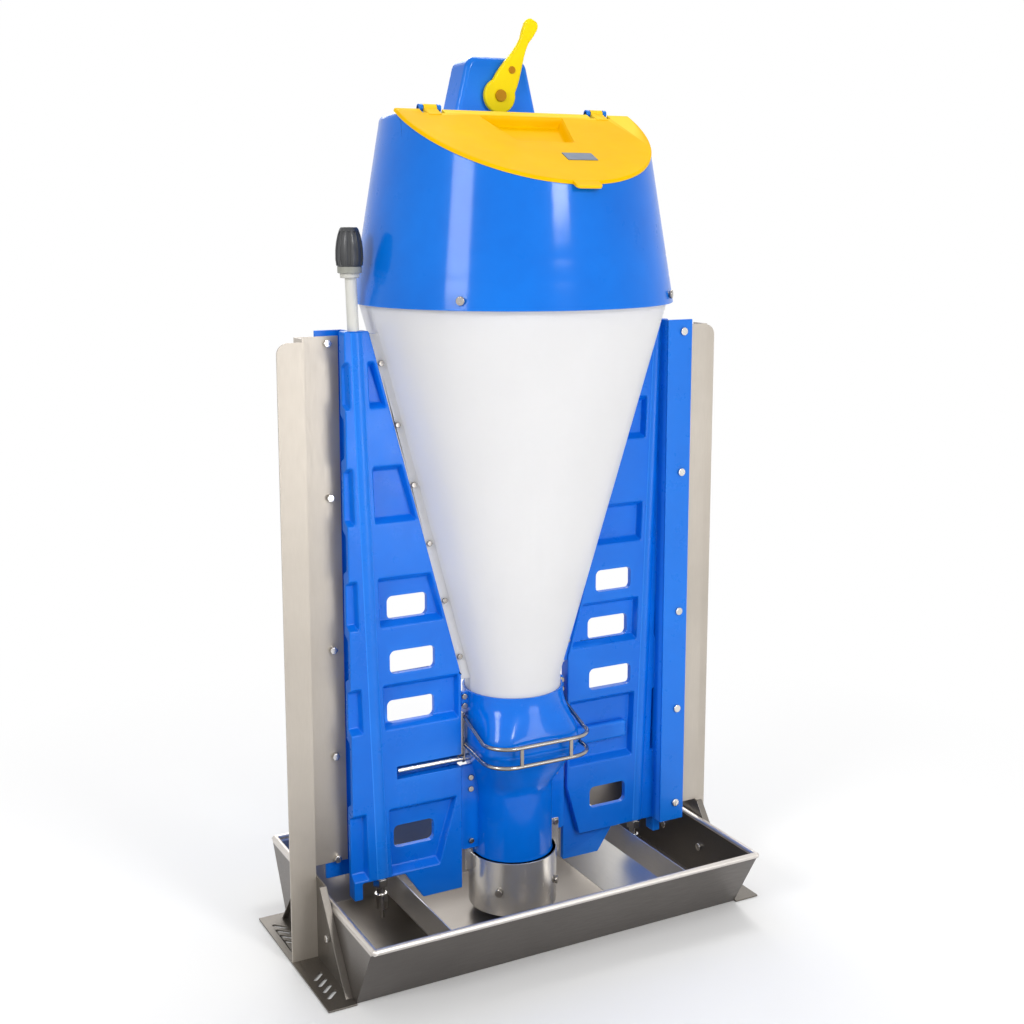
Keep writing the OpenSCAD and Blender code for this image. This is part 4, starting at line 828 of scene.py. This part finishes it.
coupling = couplingNut(nut)
for name, (node, finish, drop, profile) in rings.items():
    extraPiece(couplingRing(name, drop, profile), node, finish)
standIn(coupling, "inlet_coupling_left", "blackCoupling")
print("inlet coupling", len(coupling.data.polygons))


# cover: a lathed skin cut open on the slope, with ears for the lid's hinges

cone = {"lowR": 0.259, "lowZ": 1.052, "topR": 0.210, "topZ": 1.345, "edgeR": 0.014, "wall": 0.004,
        "around": 144, "creases": (1.0955, 1.127), "creaseDeep": 0.0004, "creaseHalf": 0.004,
        "slopeY": -0.010, "slope": math.radians(27), "round": 0.0008, "opening": 0.6,
        "rimIn": (0.0012, 0.0002), "rimUp": 0.0012, "lowRings": (0.004, 0.02),
        "upperRings": [1.15, 1.18, 1.21, 1.24, 1.27, 1.30]}
hinge = {"x": 0.149, "y": -0.0065, "z": 1.35205, "knuckleR": 0.0058, "knuckleW": 0.022,
         "earX": 0.0153, "earW": 0.007, "footIn": 0.0005, "footDown": 0.002,
         "gap": 0.0008, "slit": 0.014, "slitEnd": 0.03, "slitZ": (-0.02, 0.03)}


def coverR(z):
    return cone["lowR"] - (cone["lowR"] - cone["topR"]) * (z - cone["lowZ"]) / (cone["topZ"] - cone["lowZ"])


def onSlope(obj):
    obj.rotation_euler = (cone["slope"], 0, 0)
    obj.location = (0, cone["slopeY"], cone["topZ"])
    settle(obj)
    return obj


def coverSkin(look):
    edgeIn, sideIn = look["rimIn"]
    profile = [(look["lowR"] - edgeIn, look["lowZ"]), (look["lowR"] - sideIn, look["lowZ"] + look["rimUp"])]
    heights = [look["lowZ"] + up for up in look["lowRings"]]
    for z in look["creases"]:
        heights += [z - look["creaseHalf"], z, z + look["creaseHalf"]]
    heights += look["upperRings"] + [look["topZ"] - look["edgeR"]]
    for z in heights:
        deep = look["creaseDeep"] if z in look["creases"] else 0
        profile.append((coverR(z) - deep, z))
    shoulder = coverR(look["topZ"] - look["edgeR"]) - look["edgeR"]
    for i in range(1, 9):
        turn = math.radians(90 * i / 8)
        profile.append((shoulder + look["edgeR"] * math.cos(turn),
                        look["topZ"] + look["edgeR"] * (math.sin(turn) - 1)))
    obj = latheSkin(profile, look["around"], "coverShell")
    bpy.ops.mesh.edge_face_add()
    bpy.ops.mesh.select_all(action="SELECT")
    bpy.ops.mesh.normals_make_consistent(inside=False)
    leaveEdit()
    giveWall(obj, look["wall"])
    wide = look["opening"]
    cutWith(obj, onSlope(addBox((-wide, -wide, 0), (wide, 0, wide))))
    for side in (-1, 1):
        for end in (-1, 1):
            x = side * hinge["x"] + end * hinge["earX"]
            ear = addRod(x, hinge["y"], hinge["z"], hinge["knuckleR"], hinge["earW"])
            half = hinge["earW"] / 2
            foot = addBox((x - half, look["slopeY"] + hinge["footIn"], look["topZ"] - hinge["footDown"]),
                          (x + half, hinge["y"] + hinge["knuckleR"], hinge["z"]))
            cutWith(ear, foot, "UNION")
            cutWith(obj, ear, "UNION")
    roundEdges(obj, look["round"], 2, 50)
    smoothLook(obj, 32)
    return obj


standIn(coverSkin(cone), "cover", "blueCover")
print("cover")


# lid: a soft-edged plate on the slope with a grip tray, a front tab and knuckles

plate = {"lift": 0.0003, "thick": 0.0052, "edge": 0.0026, "around": 96, "gripTop": 0.150, "gripLow": 0.100,
         "gripY": (-0.018, -0.110), "gripDeep": 0.016, "gripDraft": 0.004,
         "trayWall": 0.003, "trayDown": 0.001, "wellUp": 0.002, "wellRound": 0.003,
         "tabHalf": 0.022, "tabOut": 0.014, "tabIn": 0.02, "tabDown": 0.0004, "tabCorner": 0.006,
         "round": 0.0012, "rootY": (-0.020, 0.0005), "rootZ": (0.0015, 0.0065), "rootRound": 0.0005}


def lidOutline(look):
    taper = (cone["lowR"] - cone["topR"]) / (cone["topZ"] - cone["lowZ"])
    fall = math.tan(cone["slope"])
    start = math.asin(-cone["slopeY"] / cone["topR"])
    points = []
    for i in range(look["around"]):
        turn = start + (math.pi - 2 * start) * i / (look["around"] - 1)
        reach = (cone["topR"] + taper * cone["slopeY"] * fall) / (1 - taper * fall * math.sin(turn))
        y = -reach * math.sin(turn)
        points.append((reach * math.cos(turn), (y - cone["slopeY"]) / math.cos(cone["slope"])))
    return points


def addPad(outline, z0, z1, name="pad"):
    clearSelection()
    bpy.ops.mesh.primitive_circle_add(vertices=len(outline), radius=0.1, fill_type="NGON")
    obj = bpy.context.object
    obj.name = name
    for vert, (x, y) in zip(obj.data.vertices, outline):
        vert.co = (x, y, z0)
    editMesh(obj)
    bpy.ops.mesh.extrude_region_move(TRANSFORM_OT_translate={"value": (0, 0, z1 - z0)})
    bpy.ops.mesh.select_all(action="SELECT")
    bpy.ops.mesh.normals_make_consistent(inside=False)
    leaveEdit()
    return obj


def gripOutline(look, grow):
    top, low = look["gripTop"] / 2 + grow, look["gripLow"] / 2 + grow
    y0, y1 = look["gripY"][0] + grow, look["gripY"][1] - grow
    return [(-top, y0), (-low, y1), (low, y1), (top, y0)]


def lidPad(look):
    outline = lidOutline(look)
    low, high = look["lift"], look["lift"] + look["thick"]
    obj = addPad(outline, low, high, "lidPlate")
    editMesh(obj)
    pickEdges(lambda a, b: a.z > high - 1e-6 and b.z > high - 1e-6 and min(a.y, b.y) < -0.001)
    bpy.ops.mesh.bevel(offset=look["edge"], segments=4)
    leaveEdit()
    tip = min(y for x, y in outline)
    tab = addBox((-look["tabHalf"], tip - look["tabOut"], low),
                 (look["tabHalf"], tip + look["tabIn"], high - look["tabDown"]))
    editMesh(tab)
    pickEdges(lambda a, b: alongAxis(2)(a, b) and a.y < tip)
    bpy.ops.mesh.bevel(offset=look["tabCorner"], segments=5)
    leaveEdit()
    roundEdges(tab, look["round"], 2)
    cutWith(obj, tab, "UNION")
    trayLow = high - look["gripDeep"] - look["trayWall"]
    tray = addPad(gripOutline(look, look["trayWall"]), trayLow, high - look["trayDown"])
    cutWith(obj, tray, "UNION")
    well = addPad(gripOutline(look, 0.0), high - look["gripDeep"], high + look["wellUp"])
    editMesh(well)
    pickFaces(lambda c, n: n.z < -0.9)
    middle = sum(look["gripY"]) / 2
    spans = (look["gripLow"], look["gripY"][0] - look["gripY"][1])
    shrink = [1 - 2 * look["gripDraft"] / span for span in spans]
    bpy.ops.transform.resize(value=(*shrink, 1), center_override=(0, middle, high))
    leaveEdit()
    roundEdges(well, look["wellRound"], 3)
    cutWith(obj, well)
    reach = look["gripTop"] / 2 + look["round"]
    rear, front = look["gripY"][0] + look["round"], look["gripY"][1] - look["round"]
    editMesh(obj)
    pickEdges(lambda a, b: min(a.z, b.z) > high - 1e-5 and max(abs(a.x), abs(b.x)) < reach
              and max(a.y, b.y) < rear and min(a.y, b.y) > front)
    bpy.ops.mesh.bevel(offset=look["round"], segments=3)
    leaveEdit()
    onSlope(obj)
    for side in (-1, 1):
        x = side * hinge["x"]
        knuckle = addRod(x, hinge["y"], hinge["z"], hinge["knuckleR"], hinge["knuckleW"])
        rootX = (x - hinge["knuckleW"] / 2, x + hinge["knuckleW"] / 2)
        root = addBox(*zip(rootX, look["rootY"], look["rootZ"]))
        onSlope(root)
        roundEdges(root, look["rootRound"], 2)
        cutWith(knuckle, root, "UNION")
        cutWith(obj, knuckle, "UNION")
        for end in (-1, 1):
            wide = (hinge["earW"] + hinge["gap"]) / 2
            middle = x + end * hinge["earX"]
            slitX, slitY = (middle - wide, middle + wide), (-hinge["slit"], hinge["slitEnd"])
            cutWith(obj, onSlope(addBox(*zip(slitX, slitY, hinge["slitZ"]))))
    pickOnly(obj)
    bpy.ops.mesh.customdata_custom_splitnormals_clear()
    bpy.ops.object.shade_smooth_by_angle(angle=math.radians(32))
    up = Vector((0, -math.sin(cone["slope"]), math.cos(cone["slope"])))
    editMesh(obj)
    pickFaces(lambda c, n: abs(n.dot(up)) > 0.9999)  # the flat top and underside
    bpy.ops.mesh.faces_shade_flat()
    leaveEdit()
    return obj


standIn(lidPad(plate), "lid", "yellowLid")
print("lid")


# dosing lever: round hub, waisted arm and flared tip

arm = {"axisZ": 1.379, "lean": math.radians(27), "y": (0.041, 0.050), "hubR": 0.028,
       "hubOpen": math.radians(52), "neckHalf": 0.0084, "neckAt": 0.098, "tipHalf": 0.0126, "tipTall": 0.012,
       "tipRound": 0.008, "tipIn": 0.0015, "length": 0.136, "edge": 0.0026,
       "bossR": 0.012, "bossY": (0.049, 0.0517)}


def leverArm(look):
    side = []
    for i in range(13):
        turn = -math.pi / 2 + (math.pi - look["hubOpen"]) * i / 12
        side.append((look["hubR"] * math.cos(turn), look["hubR"] * math.sin(turn)))
    start = side[-1]
    for i in range(1, 8):
        rise = i / 7
        soft = rise * rise * (3 - 2 * rise)
        side.append((start[0] + (look["neckHalf"] - start[0]) * soft,
                     start[1] + (look["neckAt"] - start[1]) * rise))
    shoulder = look["length"] - look["tipTall"]
    side.append((look["tipHalf"] - look["tipIn"], (look["neckAt"] + shoulder) / 2))
    for i in range(7):
        turn = math.radians(90) * i / 6
        side.append((look["tipHalf"] - look["tipRound"] * (1 - math.cos(turn)),
                     shoulder + look["tipTall"] * math.sin(turn)))
    outline = side + [(-x, z) for x, z in reversed(side) if abs(x) > 1e-6]
    c, s = math.cos(look["lean"]), math.sin(look["lean"])
    turned = [(x * c + z * s, look["axisZ"] - x * s + z * c) for x, z in outline]
    obj = addPrism(turned, *look["y"], name="leverArm")
    roundEdges(obj, look["edge"], 4, 60, True)
    y0, y1 = look["bossY"]
    boss = addRod(0, (y0 + y1) / 2, look["axisZ"], look["bossR"], y1 - y0, "Y")
    cutWith(obj, boss, "UNION")
    smoothLook(obj, 40)
    return obj


standIn(leverArm(arm), "lever", "yellowLever")
print("lever")


# sheet and moulded pieces with their edges rounded

rounded = {
    "post_left": ("postLeft", "frameSteel", 0, 2),
    "post_right": ("postRight", "frameSteel", 0, 2),
    "end_frame_left": ("endFrameLeft", "footSteel", 0.0008, 2),
    "end_frame_right": ("endFrameRight", "footSteel", 0.0008, 2),
    "trough": ("troughBody", "troughSteel", 0.0006, 2),
    "divider_left": ("dividerLeft", "dividerSteel", 0.0006, 2),
    "divider_right": ("dividerRight", "dividerSteel", 0.0006, 2),
    "hopper_front": ("hopperFront", "milkyHopper", 0.0014, 3),
    "hopper_rear": ("hopperRear", "milkyHopper", 0.0014, 3),
    "feed_tube": ("feedTube", "tubeSteel", 0.0006, 2),
    "bow_arms": ("bowArms", "wireSteel", 0.0006, 2),
    "post_bolts": ("postBolts", "brightSteel", 0.0012, 3),
    "hopper_bolts": ("hopperBolts", "wireSteel", 0.0010, 3),
    "cover_bolts": ("coverBolts", "wireSteel", 0.0012, 3),
    "trough_bolts": ("troughBolts", "brightSteel", 0.0012, 3),
    "hood_bolts": ("hoodBolts", "wireSteel", 0.0010, 3),
    "tube_bolts": ("tubeBolts", "wireSteel", 0.0010, 3),
    "lid_plate": ("barePlateOnLid", "barePlate", 0.0004, 2),
    "lever_screws": ("leverScrews", "orangeScrew", 0.0014, 3),
    "inlet_socket_right": ("inletSocket", "blackCoupling", 0.0008, 2),
    "nipple_left": ("nippleLeft", "brightSteel", 0.0008, 2),
    "nipple_right": ("nippleRight", "brightSteel", 0.0008, 2),
}
bores = {"nipple_left": "nipple_pin_left", "nipple_right": "nipple_pin_right",
         "travel": 0.003, "spare": 0.0012}


def deepenBore(obj, pin, look):
    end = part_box(pin)[1][2] + look["travel"]
    editMesh(obj)
    pickFaces(lambda c, n: n.z < -0.9 and abs(c.z - end) < 0.001)
    bpy.ops.transform.translate(value=(0, 0, look["spare"]))  # room past the pin's stop
    leaveEdit()


for node, (name, finish, width, segments) in rounded.items():
    piece = nodeCopy(node, name)
    if node in bores:
        deepenBore(piece, bores[node], bores)
    if width:
        roundEdges(piece, width, segments)
    smoothLook(piece)
    standIn(piece, node, finish)
    print("rounded", name, len(piece.data.polygons))


# studio

studio = {"floorColour": (0.90, 0.90, 0.90), "skyTop": 1.0, "skyLow": 0.55, "fill": 0.62,
          "shadowReach": (0.55, 1.5)}


def seenDirectly(tree, path):
    seen = path.outputs["Is Camera Ray"]
    for kind in ("Is Glossy Ray", "Is Transmission Ray"):
        either = tree.nodes.new("ShaderNodeMath")
        either.operation = "MAXIMUM"
        tree.links.new(seen, either.inputs[0])
        tree.links.new(path.outputs[kind], either.inputs[1])
        seen = either.outputs["Value"]
    return seen


def paleFloor(look):
    bpy.ops.object.select_all(action="DESELECT")
    bpy.ops.mesh.primitive_plane_add(size=60, location=(0, 0, -0.0005))
    floor = bpy.context.object
    floor.name = "studioFloor"
    mat, tree, shader = startFinish("studioPale")
    out = next(n for n in tree.nodes if n.type == "OUTPUT_MATERIAL")
    shader.inputs["Base Color"].default_value = (*look["floorColour"], 1)
    shader.inputs["Roughness"].default_value = 0.75
    coords = tree.nodes.new("ShaderNodeTexCoord")
    length = tree.nodes.new("ShaderNodeVectorMath")
    length.operation = "LENGTH"
    tree.links.new(coords.outputs["Object"], length.inputs[0])
    away = rangeOn(tree, length.outputs["Value"], 0.0, 1.0, *look["shadowReach"])
    path = tree.nodes.new("ShaderNodeLightPath")
    both = tree.nodes.new("ShaderNodeMath")
    both.operation = "MULTIPLY"
    tree.links.new(seenDirectly(tree, path), both.inputs[0])
    tree.links.new(away, both.inputs[1])
    white = tree.nodes.new("ShaderNodeEmission")
    white.inputs["Color"].default_value = (1, 1, 1, 1)
    mix = tree.nodes.new("ShaderNodeMixShader")
    tree.links.new(both.outputs["Value"], mix.inputs["Fac"])
    tree.links.new(shader.outputs["BSDF"], mix.inputs[1])
    tree.links.new(white.outputs["Emission"], mix.inputs[2])
    tree.links.new(mix.outputs["Shader"], out.inputs["Surface"])
    floor.data.materials.append(mat)
    return floor


def softWorld(look):
    world = bpy.data.worlds.new("studioSky")
    scene.world = world
    world.use_nodes = True
    tree = world.node_tree
    tree.nodes.clear()
    out = tree.nodes.new("ShaderNodeOutputWorld")
    coords = tree.nodes.new("ShaderNodeTexCoord")
    split = tree.nodes.new("ShaderNodeSeparateXYZ")
    tree.links.new(coords.outputs["Generated"], split.inputs["Vector"])
    shade = rampOn(tree, rangeOn(tree, split.outputs["Z"], 0.0, 1.0, -0.2, 0.9),
                   [(0.0, (look["skyLow"],) * 3), (0.35, (look["skyLow"] * 1.2,) * 3),
                    (1.0, (look["skyTop"],) * 3)])
    light = tree.nodes.new("ShaderNodeBackground")
    light.inputs["Strength"].default_value = look["fill"]
    tree.links.new(shade, light.inputs["Color"])
    white = tree.nodes.new("ShaderNodeBackground")
    white.inputs["Color"].default_value = (1, 1, 1, 1)
    path = tree.nodes.new("ShaderNodeLightPath")
    mix = tree.nodes.new("ShaderNodeMixShader")
    tree.links.new(seenDirectly(tree, path), mix.inputs["Fac"])
    tree.links.new(light.outputs["Background"], mix.inputs[1])
    tree.links.new(white.outputs["Background"], mix.inputs[2])
    tree.links.new(mix.outputs["Shader"], out.inputs["Surface"])


lamps = {
    "keyLamp": {"place": (0.45, -3.0, 2.4), "aim": (0, 0, 0.7), "size": 0.65, "power": 34},
    "topLamp": {"place": (1.25, 0.85, 4.0), "aim": (0, 0, 0.6), "size": 1.1, "power": 30},
    "lowLamp": {"place": (1.0, -2.8, 0.55), "aim": (0, 0, 0.7), "size": 1.0, "power": 14},
    "sideLamp": {"place": (-2.8, -1.2, 2.2), "aim": (0, 0, 0.6), "size": 0.9, "power": 34},
    "rearLamp": {"place": (0.6, 2.8, 2.8), "aim": (0, 0, 0.8), "size": 1.8, "power": 40},
}


def softLamp(name, lamp):
    data = bpy.data.lights.new(name, "AREA")
    data.shape = "SQUARE"
    data.size = lamp["size"]
    data.energy = lamp["power"]
    obj = bpy.data.objects.new(name, data)
    scene.collection.objects.link(obj)
    obj.location = lamp["place"]
    aim = Vector(lamp["aim"]) - Vector(lamp["place"])
    obj.rotation_euler = aim.to_track_quat("-Z", "Y").to_euler()


view = {"place": (-1.1052, -2.0708, 1.1948), "azimuth": 28.07, "pitch": 9.40, "lens": 50.73, "shiftY": -0.06}


def photoCamera(look):
    data = bpy.data.cameras.new("photoCamera")
    data.sensor_width = 36
    data.lens = look["lens"]
    data.shift_y = look["shiftY"]
    data.clip_end = 200
    cam = bpy.data.objects.new("photoCamera", data)
    scene.collection.objects.link(cam)
    cam.location = look["place"]
    cam.rotation_euler = (math.radians(90 - look["pitch"]), 0, -math.radians(look["azimuth"]))
    scene.camera = cam


paleFloor(studio)
softWorld(studio)
for name, lamp in lamps.items():
    softLamp(name, lamp)
photoCamera(view)
scene.view_settings.view_transform = "Standard"
print("studio set")
